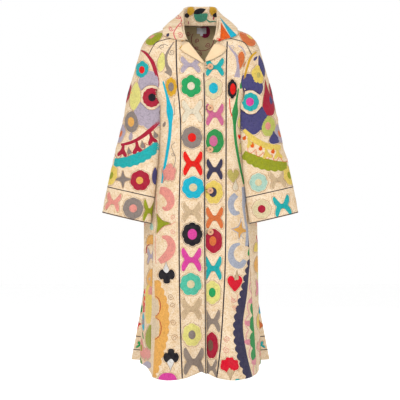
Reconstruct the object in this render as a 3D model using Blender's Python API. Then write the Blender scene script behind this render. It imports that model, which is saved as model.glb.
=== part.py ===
"""A long embroidered coat, filled out as if worn, with nobody in it.

Metres, +Z up, and the front faces -Y. The origin is where the wearer holds the coat up: midway between
the two shoulders, at the height of the shoulder ridge. The wearer's right is at -X.

Every cloth piece is a wall on one body surface. Below the underarm a place on it is a share of the way
round and a height. Above the underarm it is a distance from the middle and an angle over the shoulder.
"""

import math
from collections import namedtuple

import bmesh
import bpy
import numpy as np

# Cloth and seams
WALL = 0.002
SEAM_GAP = 0.0003
LAP_GAP = 0.0006
LAP_GAP_AT_HEM = 0.004

# Heights, down from the shoulder ridge
HEM_Z = -1.155
UNDERARM_Z = -0.235
GORE_DIP = 0.014
FOLDS_START_Z = -0.45
FOLD_POWER = 1.8
RING_TOP_Z = -0.10

# Shoulders
NECK_HALF_WIDTH = 0.075
RIDGE_AT_NECK_Z = 0.016
RIDGE_SLOPE = 0.40
SHOULDER_ROUND_X = 0.155
SHOULDER_ROUND = 0.050
RIDGE_ROUND = 0.062
NAPE_SOFTNESS = 0.018

# Seams round the body, as shares of the half girth from centre front (0) to centre back (1)
FRONT_SEAM = 0.31
BACK_SEAM = 0.62
SHOULDER_STRIP = 0.868

# The fronts: the wearer's right front laps over the left, and more so at the hem
LAP = 0.0166
UNDERLAP = 0.006
TUCK_REACH = 0.045
TUCK_AT_HEM = 0.026

# Fastenings
BUTTON_COUNT = 5
BUTTON_TOP_Z = -0.146
BUTTON_PITCH = 0.1352
BUTTON_X = 0.0326
BUTTON_RADIUS = 0.010
BUTTON_THICKNESS = 0.0034
BUTTON_HOLE_RADIUS = 0.0011
BUTTON_HOLE_SPACING = 0.0021
SHANK_RADIUS = 0.0012
SHANK_HEIGHT = 0.0034
LOOP_RADIUS = 0.0008
LOOP_END_RADIUS = 0.0026
LOOP_HALF_WIDTH = 0.0044
LOOP_LIFT = 0.0006

Section = namedtuple("Section", "z half_width front back corner")
BODY = (
    Section(-1.155, 0.205, 0.170, 0.170, 2.2),
    Section(-0.900, 0.192, 0.152, 0.155, 2.2),
    Section(-0.660, 0.190, 0.140, 0.140, 2.25),
    Section(-0.420, 0.182, 0.127, 0.120, 2.3),
    Section(-0.270, 0.189, 0.134, 0.121, 2.3),
    Section(-0.160, 0.200, 0.124, 0.119, 2.3),
    Section(-0.070, 0.218, 0.110, 0.112, 2.3),
    Section(0.060, 0.232, 0.098, 0.106, 2.3),
)

# The hem seen from above: a row for each crest and hollow, and how far the edge lifts there
Fold = namedtuple("Fold", "place share x y lift")
HEM_RIGHT = (
    Fold("centre", 0.000, 0.004, -0.152, 0.017),
    Fold("strip", 0.092, -0.058, -0.198, 0.002),
    Fold("front_crest", 0.149, -0.105, -0.211, 0.000),
    Fold("front_turn", 0.205, -0.143, -0.180, 0.000),
    Fold("side_hollow", 0.316, -0.163, -0.090, 0.001),
    Fold("gore_crest", 0.468, -0.185, 0.037, 0.000),
    Fold("gore_turn", 0.590, -0.213, 0.134, 0.000),
    Fold("back_hollow", 0.630, -0.207, 0.158, 0.001),
    Fold("back_crest", 0.686, -0.248, 0.190, 0.000),
    Fold("back_turn", 0.760, -0.195, 0.228, 0.000),
    Fold("back_dip", 0.880, -0.096, 0.205, 0.002),
    Fold("centre_back", 1.000, 0.000, 0.238, 0.000),
)
HEM_LEFT = (
    Fold("centre", 0.000, 0.004, -0.152, 0.017),
    Fold("strip", 0.085, 0.056, -0.188, 0.003),
    Fold("front_crest", 0.145, 0.102, -0.211, 0.000),
    Fold("front_turn", 0.205, 0.147, -0.181, 0.000),
    Fold("side_turn", 0.293, 0.181, -0.115, 0.001),
    Fold("side_hollow", 0.376, 0.195, -0.047, 0.001),
    Fold("gore_crest", 0.491, 0.203, 0.050, 0.000),
    Fold("gore_turn", 0.592, 0.214, 0.135, 0.000),
    Fold("back_hollow", 0.630, 0.208, 0.158, 0.001),
    Fold("back_crest", 0.686, 0.250, 0.190, 0.000),
    Fold("back_turn", 0.760, 0.195, 0.228, 0.000),
    Fold("back_dip", 0.880, 0.096, 0.205, 0.002),
    Fold("centre_back", 1.000, 0.000, 0.238, 0.000),
)

# Edges above the underarm on one side: x is the distance from the middle, up runs from 0 to 1
Edge = namedtuple("Edge", "up x z")
ARMHOLE_FRONT = (
    Edge(0.00, 0.1530, -0.2350),
    Edge(0.22, 0.1370, -0.2050),
    Edge(0.50, 0.1405, -0.1650),
    Edge(0.75, 0.1500, -0.1280),
    Edge(1.00, 0.1720, -0.0970),
)
ARMHOLE_BACK = (
    Edge(0.00, 0.1750, -0.2350),
    Edge(0.30, 0.1660, -0.1950),
    Edge(0.60, 0.1680, -0.1450),
    Edge(0.85, 0.1840, -0.0900),
    Edge(1.00, 0.1960, -0.0670),
)
SHOULDER_SEAM = (
    Edge(0.00, 0.0660, -0.0400),
    Edge(0.15, 0.0826, -0.0447),
    Edge(0.50, 0.1200, -0.0510),
    Edge(0.80, 0.1520, -0.0640),
    Edge(1.00, 0.1720, -0.0970),
)
# The front edge and the roll line above it, signed: the right front's edge crosses the middle
RIGHT_EDGE = (
    Edge(0.00, LAP, -0.2350),
    Edge(0.45, 0.0137, -0.1360),
    Edge(0.85, -0.0404, -0.0640),
    Edge(1.00, -0.0660, -0.0400),
)
LEFT_EDGE = (
    Edge(0.00, -UNDERLAP, -0.2350),
    Edge(0.38, 0.0030, -0.1490),
    Edge(0.85, 0.0496, -0.0684),
    Edge(1.00, 0.0660, -0.0400),
)

# The armhole where it crosses the shoulder, from the back armhole's end to the front's
Crossing = namedtuple("Crossing", "up x turn")
ARMHOLE_OVER = (
    Crossing(0.00, 0.1960, 40),
    Crossing(0.30, 0.2015, 5),
    Crossing(0.65, 0.1970, -48),
    Crossing(1.00, 0.1720, -96),
)

# The collar, from centre back (0) to the front end (1). The neck and outer edge lie on the body.
Leaf = namedtuple("Leaf", "along neck_x neck_turn fold_x fold_y fold_z edge_x edge_turn")
COLLAR = (
    Leaf(0.00, 0.000, 42, 0.000, 0.074, 0.0895, 0.000, 68),
    Leaf(0.20, 0.034, 31, 0.033, 0.067, 0.0885, 0.062, 60),
    Leaf(0.38, 0.062, 14, 0.054, 0.044, 0.0800, 0.104, 34),
    Leaf(0.54, 0.0735, -14, 0.060, 0.008, 0.0580, 0.121, 0),
    Leaf(0.70, 0.0715, -44, 0.060, -0.034, 0.0270, 0.122, -46),
    Leaf(0.80, 0.0695, -62, 0.0585, -0.060, 0.0040, 0.120, -66),
    Leaf(0.88, 0.0675, -80, 0.056, -0.086, -0.0170, 0.099, -84),
    Leaf(0.92, 0.0660, -87, 0.054, -0.099, -0.0290, 0.086, -91),
    Leaf(1.00, 0.0480, -100, 0.046, -0.117, -0.0530, 0.060, -108),
)
NAPE_ALONG = 0.38
SEAM_ALONG = 0.92
COLLAR_ROLL = 0.0042
COLLAR_LIFT = 0.0050
COLLAR_STAND_BOW = 0.003
COLLAR_KNOTS = (0.0, 0.22, 0.42, 0.52, 0.62, 0.81, 1.0)

# Lapels: the roll line and the outer edge, from the foot of the opening (0) to the notch (1), signed
Lapel = namedtuple("Lapel", "along roll_x roll_z edge_x edge_z")
LAPEL_RIGHT = (
    Lapel(0.00, 0.0130, -0.1351, 0.0105, -0.1375),
    Lapel(0.30, -0.0038, -0.1127, -0.0160, -0.1205),
    Lapel(0.60, -0.0205, -0.0905, -0.0400, -0.1070),
    Lapel(0.85, -0.0340, -0.0725, -0.0704, -0.0881),
    Lapel(1.00, -0.0404, -0.0640, -0.0575, -0.0705),
)
LAPEL_LEFT = (
    Lapel(0.00, 0.0170, -0.1248, 0.0190, -0.1290),
    Lapel(0.30, 0.0272, -0.1072, 0.0420, -0.1225),
    Lapel(0.60, 0.0371, -0.0900, 0.0680, -0.1080),
    Lapel(0.85, 0.0455, -0.0755, 0.0914, -0.0848),
    Lapel(1.00, 0.0490, -0.0695, 0.0665, -0.0690),
)
LAPEL_TURN_RADIUS = 0.001
LAPEL_BOW = 0.0025

# The right sleeve's rings below the armhole; the left one is its mirror image
Ring = namedtuple("Ring", "z x y wide deep turn tilt")
SLEEVE = (
    Ring(-0.262, -0.1890, -0.047, 0.0850, 0.0470, 54, 8),
    Ring(-0.325, -0.1960, -0.056, 0.0840, 0.0450, 48, 9),
    Ring(-0.390, -0.2050, -0.064, 0.0830, 0.0450, 40, 10),
    Ring(-0.455, -0.2150, -0.071, 0.0830, 0.0440, 31, 11),
    Ring(-0.520, -0.2250, -0.077, 0.0825, 0.0425, 22, 12),
    Ring(-0.583, -0.2350, -0.083, 0.0820, 0.0405, 14, 13),
    Ring(-0.642, -0.2440, -0.088, 0.0815, 0.0385, 8, 13),
)
SLEEVE_START_PULL = 0.85
SLEEVE_END_PULL = 0.75
SLEEVE_CLEARANCE = 0.0045

# The blank label inside the back of the neck
LABEL_X = 0.005
LABEL_WIDTH = 0.034
LABEL_TOP_Z = 0.020
LABEL_HEIGHT = 0.017
TAB_WIDTH = 0.010
TAB_HEIGHT = 0.007
LABEL_WALL = 0.001
LABEL_GAP = 0.0012

# How finely the walls are divided
SKIRT_ROWS = 19
FRONT_COLUMNS = 12
SIDE_COLUMNS = 9
STRIP_COLUMNS = 12
NECK_COLUMNS = 12
FRONT_CHEST_ROWS = 5
FRONT_LAPEL_ROWS = 7
BACK_ROWS = 12
BACK_ROW_CROWDING = 2.1
OVER_ROWS = 8
CAP_ROWS = 4
SLEEVE_ROWS = 7
COLLAR_STEPS = 10

COLOURS = {
    "cloth": (0.88, 0.74, 0.56),
    "facing": (0.92, 0.81, 0.64),
    "wood": (0.80, 0.55, 0.38),
    "thread": (0.20, 0.14, 0.12),
    "label": (0.90, 0.91, 0.94),
}


def remove_everything():
    for item in list(bpy.data.objects):
        bpy.data.objects.remove(item, do_unlink=True)


def material(node, kind):
    """A plain Principled material of a kind's colour, one for each piece."""
    made = bpy.data.materials.new(f"{node}_{kind}")
    made.use_nodes = True
    shader = made.node_tree.nodes["Principled BSDF"]
    shader.inputs["Base Color"].default_value = (*COLOURS[kind], 1.0)
    shader.inputs["Roughness"].default_value = 0.5 if kind == "wood" else 0.85
    shader.inputs["Metallic"].default_value = 0.0
    return made


def unit(vectors):
    return vectors / np.maximum(np.linalg.norm(vectors, axis=-1, keepdims=True), 1e-12)


def smooth(rows, key, value, at):
    """A smooth curve through a table's rows, one column against another."""
    keys = np.array([getattr(row, key) for row in rows], float)
    values = np.array([getattr(row, value) for row in rows], float)
    slopes = np.gradient(values, keys)
    at = np.clip(at, keys[0], keys[-1])
    i = np.clip(np.searchsorted(keys, at) - 1, 0, len(keys) - 2)
    span = keys[i + 1] - keys[i]
    t = (at - keys[i]) / span
    return (
        values[i] * (1 + 2 * t) * (1 - t) ** 2
        + values[i + 1] * t * t * (3 - 2 * t)
        + slopes[i] * span * t * (1 - t) ** 2
        - slopes[i + 1] * span * t * t * (1 - t)
    )


def straight(rows, key, value, at):
    """A broken line through a table's rows, which keeps its corners."""
    return np.interp(at, [getattr(row, key) for row in rows], [getattr(row, value) for row in rows])


def outline(z, shares):
    """Half of the unfolded body at one height, at even shares of the way round, and its length."""
    wide = smooth(BODY, "z", "half_width", z)
    corner = smooth(BODY, "z", "corner", z)
    angle = np.linspace(0, math.pi, 400)
    x = wide * np.sin(angle) ** (2 / corner)
    reach = np.where(angle < math.pi / 2, smooth(BODY, "z", "front", z), smooth(BODY, "z", "back", z))
    y = -np.sign(np.cos(angle)) * reach * np.abs(np.cos(angle)) ** (2 / corner)
    length = np.concatenate([[0], np.cumsum(np.hypot(np.diff(x), np.diff(y)))])
    return np.interp(shares * length[-1], length, x), np.interp(shares * length[-1], length, y), length[-1]


def body_rings(heights=181, steps=160):
    """The folded body from the hem up: an array of height by signed share (-1 to 1) by point."""
    rings, girths = [], []
    shares = np.linspace(0, 1, steps + 1)
    for z in np.linspace(HEM_Z, RING_TOP_Z, heights):
        x, y, girth = outline(z, shares)
        strength = fold_strength(z)
        halves = []
        for side, table in ((-1, HEM_RIGHT), (1, HEM_LEFT)):
            points = np.stack([side * x, y, np.full_like(x, z)], -1)
            points[:, 0] += strength * (smooth(table, "share", "x", shares) - points[:, 0])
            points[:, 1] += strength * (smooth(table, "share", "y", shares) - points[:, 1])
            points[:, 2] += strength * smooth(table, "share", "lift", shares)
            halves.append(points)
        rings.append(np.concatenate([halves[0][::-1], halves[1][1:-1]]))
        girths.append(girth)
    return np.array(rings), np.array(girths)


def fold_strength(z):
    """0 down to the hips, where the skirt hangs plain, rising to 1 at the hem."""
    return np.clip((FOLDS_START_Z - z) / (FOLDS_START_Z - HEM_Z), 0, 1) ** FOLD_POWER


RINGS, GIRTHS = body_rings()


def ring_row(z):
    return (np.asarray(z, float) - HEM_Z) / (RING_TOP_Z - HEM_Z) * (len(RINGS) - 1)


def half_girth(z):
    return np.interp(ring_row(z), np.arange(len(GIRTHS)), GIRTHS)


def around(share, z):
    """The body's outer surface at a signed share of the way round; past 1 it runs on to the other side."""
    share, z = np.broadcast_arrays(np.asarray(share, float), np.asarray(z, float))
    steps = RINGS.shape[1]
    row = ring_row(z)
    low = np.clip(np.floor(row).astype(int), 0, len(RINGS) - 2)
    up = (row - low)[..., None]
    column = (share + 1) % 2 / 2 * steps
    left = np.floor(column).astype(int) % steps
    on = (column - np.floor(column))[..., None]
    right = (left + 1) % steps
    below = RINGS[low, left] * (1 - on) + RINGS[low, right] * on
    above = RINGS[low + 1, left] * (1 - on) + RINGS[low + 1, right] * on
    return below * (1 - up) + above * up


def ridge(x):
    """The height of the shoulder ridge, which runs on over the neck as a soft gable."""
    x = np.sqrt(np.square(x) + NAPE_SOFTNESS**2)
    past = np.clip(x - SHOULDER_ROUND_X, 0, SHOULDER_ROUND)
    drop = SHOULDER_ROUND - np.sqrt(SHOULDER_ROUND**2 - past**2)
    return RIDGE_AT_NECK_Z - RIDGE_SLOPE * (x - NECK_HALF_WIDTH) - drop


def turn_at(x, z):
    """The angle over the shoulder at which the surface has this height."""
    down = np.maximum(ridge(x) - z, 0) / RIDGE_ROUND
    return np.where(down < 1, np.arccos(1 - np.minimum(down, 1)), math.pi / 2 + down - 1)


def over(x, turn):
    """The body above the underarm. turn is 0 on the ridge, positive to the back, negative to the front."""
    size = np.abs(turn)
    down = RIDGE_ROUND * np.where(size < math.pi / 2, 1 - np.cos(size), 1 + size - math.pi / 2)
    z = ridge(x) - down
    wide = smooth(BODY, "z", "half_width", z)
    corner = smooth(BODY, "z", "corner", z)
    reach = np.where(turn > 0, smooth(BODY, "z", "back", z), smooth(BODY, "z", "front", z))
    across = np.maximum(1 - np.minimum(np.abs(x) / wide, 1) ** corner, 0) ** (1 / corner)
    y = np.sign(turn) * reach * across * np.sin(np.minimum(size, math.pi / 2))
    return np.stack([x + 0 * y, y, z], -1)


def normals(surface, a, b, step=0.002):
    """The outward direction square to a surface."""
    along_a = surface(a + step, b) - surface(a - step, b)
    along_b = surface(a, b + step) - surface(a, b - step)
    return unit(np.cross(along_a, along_b))


def wall(surface, a, b, inset=0.0):
    """Outer and inner points on a surface: an array of face by row by column by point."""
    a, b = np.broadcast_arrays(a, b)
    points = surface(a, b)
    out = normals(surface, a, b)
    push = np.broadcast_to(inset, a.shape)[..., None]
    return np.stack([points - out * push, points - out * (push + WALL)])


def stack(*walls):
    """Walls that share a row, one above the other."""
    return np.concatenate([walls[0]] + [w[:, 1:] for w in walls[1:]], axis=1)


def coons(bottom, top, left, right, ups=None):
    """Places inside four edges that meet at their ends, each an array of (x, turn)."""
    q = np.linspace(0, 1, len(bottom))[None, :, None]
    r = (np.linspace(0, 1, len(left)) if ups is None else ups)[:, None, None]
    ruled = (1 - r) * bottom[None] + r * top[None] + (1 - q) * left[:, None] + q * right[:, None]
    return ruled - (
        (1 - q) * (1 - r) * bottom[0] + q * (1 - r) * bottom[-1] + (1 - q) * r * top[0] + q * r * top[-1]
    )


def trim(walls, edge, amount=SEAM_GAP / 2):
    """Moves one edge of a wall back along the wall, square to the edge."""
    turned = {"low": walls, "high": walls[:, ::-1], "first": walls.swapaxes(1, 2)}
    turned["last"] = turned["first"][:, ::-1]
    rows = turned[edge]
    back = unit(rows[0, 1] - rows[0, 0])
    along = unit(np.gradient(rows[0, 0], axis=0))
    back = unit(back - along * np.sum(back * along, -1, keepdims=True))
    rows[:, 0] += back * amount
    return walls


def solid(node, walls, kind, closed=False, present=None):
    """One closed body: both faces of a wall and its edges. present(row, column) leaves cells out."""
    mesh = bmesh.new()
    rows, columns = walls.shape[1:3]
    made = {}

    def vertex(face, i, j):
        place = (face, i, j % columns)
        if place not in made:
            made[place] = mesh.verts.new(walls[face, i, j % columns])
        return made[place]

    def filled(i, j):
        if not closed and not 0 <= j < columns - 1:
            return False
        return 0 <= i < rows - 1 and (present is None or present(i, j))

    for i in range(rows - 1):
        for j in range(columns if closed else columns - 1):
            if not filled(i, j):
                continue
            corners = [(i, j), (i, j + 1), (i + 1, j + 1), (i + 1, j)]
            mesh.faces.new([vertex(0, *c) for c in corners])
            mesh.faces.new([vertex(1, *c) for c in reversed(corners)])
            beyond = ((i - 1, j), (i, j + 1), (i + 1, j), (i, j - 1))
            for n, neighbour in enumerate(beyond):
                if not filled(*neighbour):
                    a, b = corners[n], corners[(n + 1) % 4]
                    mesh.faces.new([vertex(0, *b), vertex(0, *a), vertex(1, *a), vertex(1, *b)])
    return finish(node, mesh, kind)


def finish(node, mesh, kind):
    bmesh.ops.recalc_face_normals(mesh, faces=mesh.faces)
    data = bpy.data.meshes.new(node)
    mesh.to_mesh(data)
    mesh.free()
    made = bpy.data.objects.new(node, data)
    bpy.context.collection.objects.link(made)
    data.materials.append(material(node, kind))
    return made


def places(x, z, side_of_body):
    """(x, turn) pairs for points given by their height; side_of_body is -1 in front, 1 behind."""
    return np.stack([x, side_of_body * turn_at(x, z)], -1)


def tuck(x, z):
    """How far the left front lies inside the body surface, under the right front's edge."""
    edge = np.where(z < UNDERARM_Z, LAP, straight(RIGHT_EDGE, "z", "x", z))
    t = np.clip((edge + TUCK_REACH - x) / TUCK_REACH, 0, 1)
    return (WALL + LAP_GAP + LAP_GAP_AT_HEM * fold_strength(z) ** 0.5) * t * t * (3 - 2 * t)


def front(side):
    """A front panel, from its edge to the side seam and from the hem to the shoulder seam."""
    edge = RIGHT_EDGE if side < 0 else LEFT_EDGE
    heights = np.linspace(HEM_Z, UNDERARM_Z, SKIRT_ROWS)
    over_edge = LAP / half_girth(heights)
    under_edge = -(UNDERLAP + TUCK_AT_HEM * fold_strength(heights)) / half_girth(heights)
    first = [over_edge, 0 * heights, under_edge][::-side]
    rest = np.linspace(0, 1, FRONT_COLUMNS - 2)[1:, None]
    shares = np.stack([*first, *(first[2] * (1 - rest) + side * FRONT_SEAM * rest)], -1)
    q = np.linspace(0, 1, FRONT_COLUMNS)
    low = around(shares, heights[:, None])
    sunk = tuck(shares * half_girth(heights)[:, None], heights[:, None])
    skirt = wall(around, shares, heights[:, None], 0.0 if side < 0 else sunk)
    ups = np.concatenate([
        np.linspace(0, edge[1].up, FRONT_CHEST_ROWS),
        np.linspace(edge[1].up, 1, FRONT_LAPEL_ROWS + 1)[1:],
    ])
    bottom = places(low[-1, :, 0], low[-1, :, 2], -1)
    left = places(straight(edge, "up", "x", ups), straight(edge, "up", "z", ups), -1)
    right = places(side * smooth(ARMHOLE_FRONT, "up", "x", ups), smooth(ARMHOLE_FRONT, "up", "z", ups), -1)
    top = places(side * smooth(SHOULDER_SEAM, "up", "x", q), smooth(SHOULDER_SEAM, "up", "z", q), -1)
    left += (bottom[0] - left[0]) * (1 - ups[:, None]) ** 2
    right += (bottom[-1] - right[0]) * (1 - ups[:, None]) ** 2
    grid = coons(bottom, top, left, right)
    high = over(grid[..., 0], grid[..., 1])
    inset = 0.0 if side < 0 else tuck(high[..., 0], high[..., 2])
    return stack(skirt, wall(over, grid[..., 0], grid[..., 1], inset))


def gore(side):
    """A side panel, from the front seam to the back seam and from the hem to the underarm."""
    q = np.linspace(0, 1, SIDE_COLUMNS)
    r = np.linspace(0, 1, SKIRT_ROWS)[:, None]
    top = UNDERARM_Z - GORE_DIP * np.sin(math.pi * q)
    shares = side * (FRONT_SEAM + (BACK_SEAM - FRONT_SEAM) * q)
    return wall(around, shares + 0 * r, HEM_Z + (top - HEM_Z) * r)


def neck_line(along, side=1):
    """(x, turn) pairs on the neck seam."""
    x = side * smooth(COLLAR, "along", "neck_x", along)
    return np.stack([x, np.radians(smooth(COLLAR, "along", "neck_turn", along))], -1)


def back():
    """The back panel, which runs over the shoulders to the seam in front of them."""
    strip = np.linspace(BACK_SEAM, SHOULDER_STRIP, STRIP_COLUMNS)
    middle = np.linspace(SHOULDER_STRIP, 2 - SHOULDER_STRIP, NECK_COLUMNS + 1)
    shares = np.concatenate([strip, middle[1:-1], 2 - strip[::-1]])
    heights = np.linspace(HEM_Z, UNDERARM_Z, SKIRT_ROWS)
    skirt = wall(around, shares + 0 * heights[:, None], heights[:, None] + 0 * shares)

    ups = 1 - (1 - np.linspace(0, 1, BACK_ROWS)) ** BACK_ROW_CROWDING
    low = around(shares, UNDERARM_Z)
    bottom = places(low[:, 0], low[:, 2], 1)
    left = places(smooth(ARMHOLE_BACK, "up", "x", ups), smooth(ARMHOLE_BACK, "up", "z", ups), 1)
    left += (bottom[0] - left[0]) * (1 - ups[:, None]) ** 2
    overs = np.linspace(0, 1, OVER_ROWS + 1)
    crossing = np.stack([
        smooth(ARMHOLE_OVER, "up", "x", overs),
        np.radians(smooth(ARMHOLE_OVER, "up", "turn", overs)),
    ], -1)
    seam_end = places(np.array(SHOULDER_SEAM[-1].x), np.array(SHOULDER_SEAM[-1].z), -1)
    crossing += (left[-1] - crossing[0]) * (1 - overs[:, None]) ** 2
    crossing += (seam_end - crossing[-1]) * overs[:, None] ** 2

    nape = neck_line(NAPE_ALONG)
    q = np.linspace(0, 1, STRIP_COLUMNS)[:, None]
    shelf = left[-1] * (1 - q) + nape * q
    turned = np.linspace(-NAPE_ALONG, NAPE_ALONG, NECK_COLUMNS + 1)[1:-1]
    nape_line = neck_line(np.abs(turned))
    nape_line[:, 0] *= -np.sign(turned)
    flip = np.array([-1.0, 1.0])
    top = np.concatenate([shelf, nape_line, shelf[::-1] * flip])
    grid = coons(bottom, top, left, left * flip, ups)
    upper = wall(over, grid[..., 0], grid[..., 1])

    ups = np.linspace(0, 1, STRIP_COLUMNS)[::-1]
    seam = places(smooth(SHOULDER_SEAM, "up", "x", ups), smooth(SHOULDER_SEAM, "up", "z", ups), -1)
    neck = neck_line(np.linspace(NAPE_ALONG, SEAM_ALONG, OVER_ROWS + 1))
    neck += (seam[-1] - neck[-1]) * overs[:, None] ** 2
    strap = coons(shelf, seam, crossing, neck)
    left_strap = wall(over, strap[..., 0], strap[..., 1])
    right_strap = left_strap[:, :, ::-1] * np.array([-1.0, 1.0, 1.0])
    empty = np.zeros((2, OVER_ROWS + 1, NECK_COLUMNS - 1, 3))
    straps = np.concatenate([left_strap, empty, right_strap], axis=2)
    return stack(skirt, upper, straps)


def back_present(i, j):
    return i < SKIRT_ROWS + BACK_ROWS - 2 or not STRIP_COLUMNS - 1 <= j < STRIP_COLUMNS - 1 + NECK_COLUMNS


def clear_body(points, need):
    """Moves points out of the body's rings until they are this far from it."""
    moved = points.copy()
    for place in np.ndindex(points.shape[:-1]):
        p = points[place]
        wanted = np.broadcast_to(need, points.shape[:-1])[place]
        if p[2] > RING_TOP_Z or wanted <= 0:
            continue
        ring = RINGS[int(round(float(np.clip(ring_row(p[2]), 0, len(RINGS) - 1))))][:, :2]
        nearest = int(np.argmin(np.sum((ring - p[:2]) ** 2, -1)))
        tangent = ring[(nearest + 1) % len(ring)] - ring[nearest - 1]
        out = np.array([tangent[1], -tangent[0]]) / np.linalg.norm(tangent)
        away = float((p[:2] - ring[nearest]) @ out)
        if away < wanted:
            moved[place][:2] += out * (wanted - away)
    return moved


def sleeve(side, armhole):
    """A sleeve from the armhole's points (front, under the arm, back, shoulder) down to the cuff."""
    outer, inner = armhole
    tangent = unit(np.roll(outer, -1, 0) - np.roll(outer, 1, 0))
    leave = -side * unit(np.cross(tangent, unit(outer - inner)))
    steps = np.linalg.norm(np.roll(outer, -1, 0) - outer, axis=-1)
    length = np.concatenate([[0], np.cumsum(steps)[:-1]])
    under = length[SIDE_COLUMNS // 2]
    angle = -2 * math.pi * (length - under) / steps.sum()

    def ring(z):
        names = ("x", "y", "wide", "deep", "turn", "tilt")
        row = {name: smooth(SLEEVE[::-1], "z", name, z) for name in names}
        turn = math.radians(row["turn"])
        a = row["wide"] * np.cos(angle - turn)
        b = row["deep"] * np.sin(angle - turn)
        inward = a * math.cos(turn) - b * math.sin(turn)
        forward = a * math.sin(turn) + b * math.cos(turn)
        x = -row["x"] * side - side * inward
        lift = -inward * math.tan(math.radians(row["tilt"]))
        return np.stack([x, row["y"] - forward, z + lift], -1)

    heights = np.linspace(SLEEVE[0].z, SLEEVE[-1].z, SLEEVE_ROWS + 1)
    rings = np.array([ring(z) for z in heights])
    start = outer + leave * SEAM_GAP / 2
    reach = np.linalg.norm(rings[0] - start, axis=-1)[:, None]
    down = unit(rings[1] - rings[0])
    cap = []
    for t in np.linspace(0, 1, CAP_ROWS + 2)[1:-1]:
        cap.append(
            start * (1 + 2 * t) * (1 - t) ** 2
            + rings[0] * t * t * (3 - 2 * t)
            + leave * reach * SLEEVE_START_PULL * t * (1 - t) ** 2
            - down * reach * SLEEVE_END_PULL * t * t * (1 - t)
        )
    need = SLEEVE_CLEARANCE * np.linspace(0, 1, CAP_ROWS + 2)[1:-1]
    cap = clear_body(np.array(cap), need[:, None] + np.zeros(len(outer)))
    rings = clear_body(rings, SLEEVE_CLEARANCE)
    grid = np.concatenate([start[None], cap, rings])
    down = np.gradient(grid, axis=0)
    across = np.roll(grid, -1, 1) - np.roll(grid, 1, 1)
    out = -side * unit(np.cross(down, across))
    walls = np.stack([grid, grid - out * WALL])
    walls[1, 0] = inner + leave * SEAM_GAP / 2
    return walls


def lapel(side):
    """The turned-back top of a front, which rolls over the front's edge and lies on it."""
    table = LAPEL_RIGHT if side < 0 else LAPEL_LEFT
    along = np.linspace(0, 1, 9)
    roll_x = straight(table, "along", "roll_x", along)
    roll_z = straight(table, "along", "roll_z", along)
    edge_x = straight(table, "along", "edge_x", along)
    edge_z = straight(table, "along", "edge_z", along)
    roll = places(roll_x, roll_z, -1)
    edge = places(edge_x, edge_z, -1)

    def face(place, lift):
        point = over(place[:, 0], place[:, 1])
        out = normals(over, place[:, 0], place[:, 1])
        sunk = 0.0 if side < 0 else tuck(point[:, 0], point[:, 2])[:, None]
        return point + out * (lift - sunk), out

    base, out = face(roll, 0.0)
    away = base - face(edge, 0.0)[0]
    away = unit(away - out * np.sum(away * out, -1, keepdims=True))
    centre = base + out * LAPEL_TURN_RADIUS + away * SEAM_GAP
    shown, hidden = [], []
    for angle in np.radians(np.linspace(-90, 90, 6)):
        spoke = away * math.cos(angle) + out * math.sin(angle)
        shown.append(centre + spoke * (LAPEL_TURN_RADIUS + WALL))
        hidden.append(centre + spoke * LAPEL_TURN_RADIUS)
    for q in np.linspace(0, 1, 6)[1:]:
        place = roll * (1 - q) + edge * q
        lift = 2 * LAPEL_TURN_RADIUS + LAPEL_BOW * math.sin(math.pi * min(q, 0.95))
        under, out = face(place, lift)
        shown.append(under + out * WALL)
        hidden.append(under)
    return np.stack([np.stack(shown, 1), np.stack(hidden, 1)])


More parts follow.
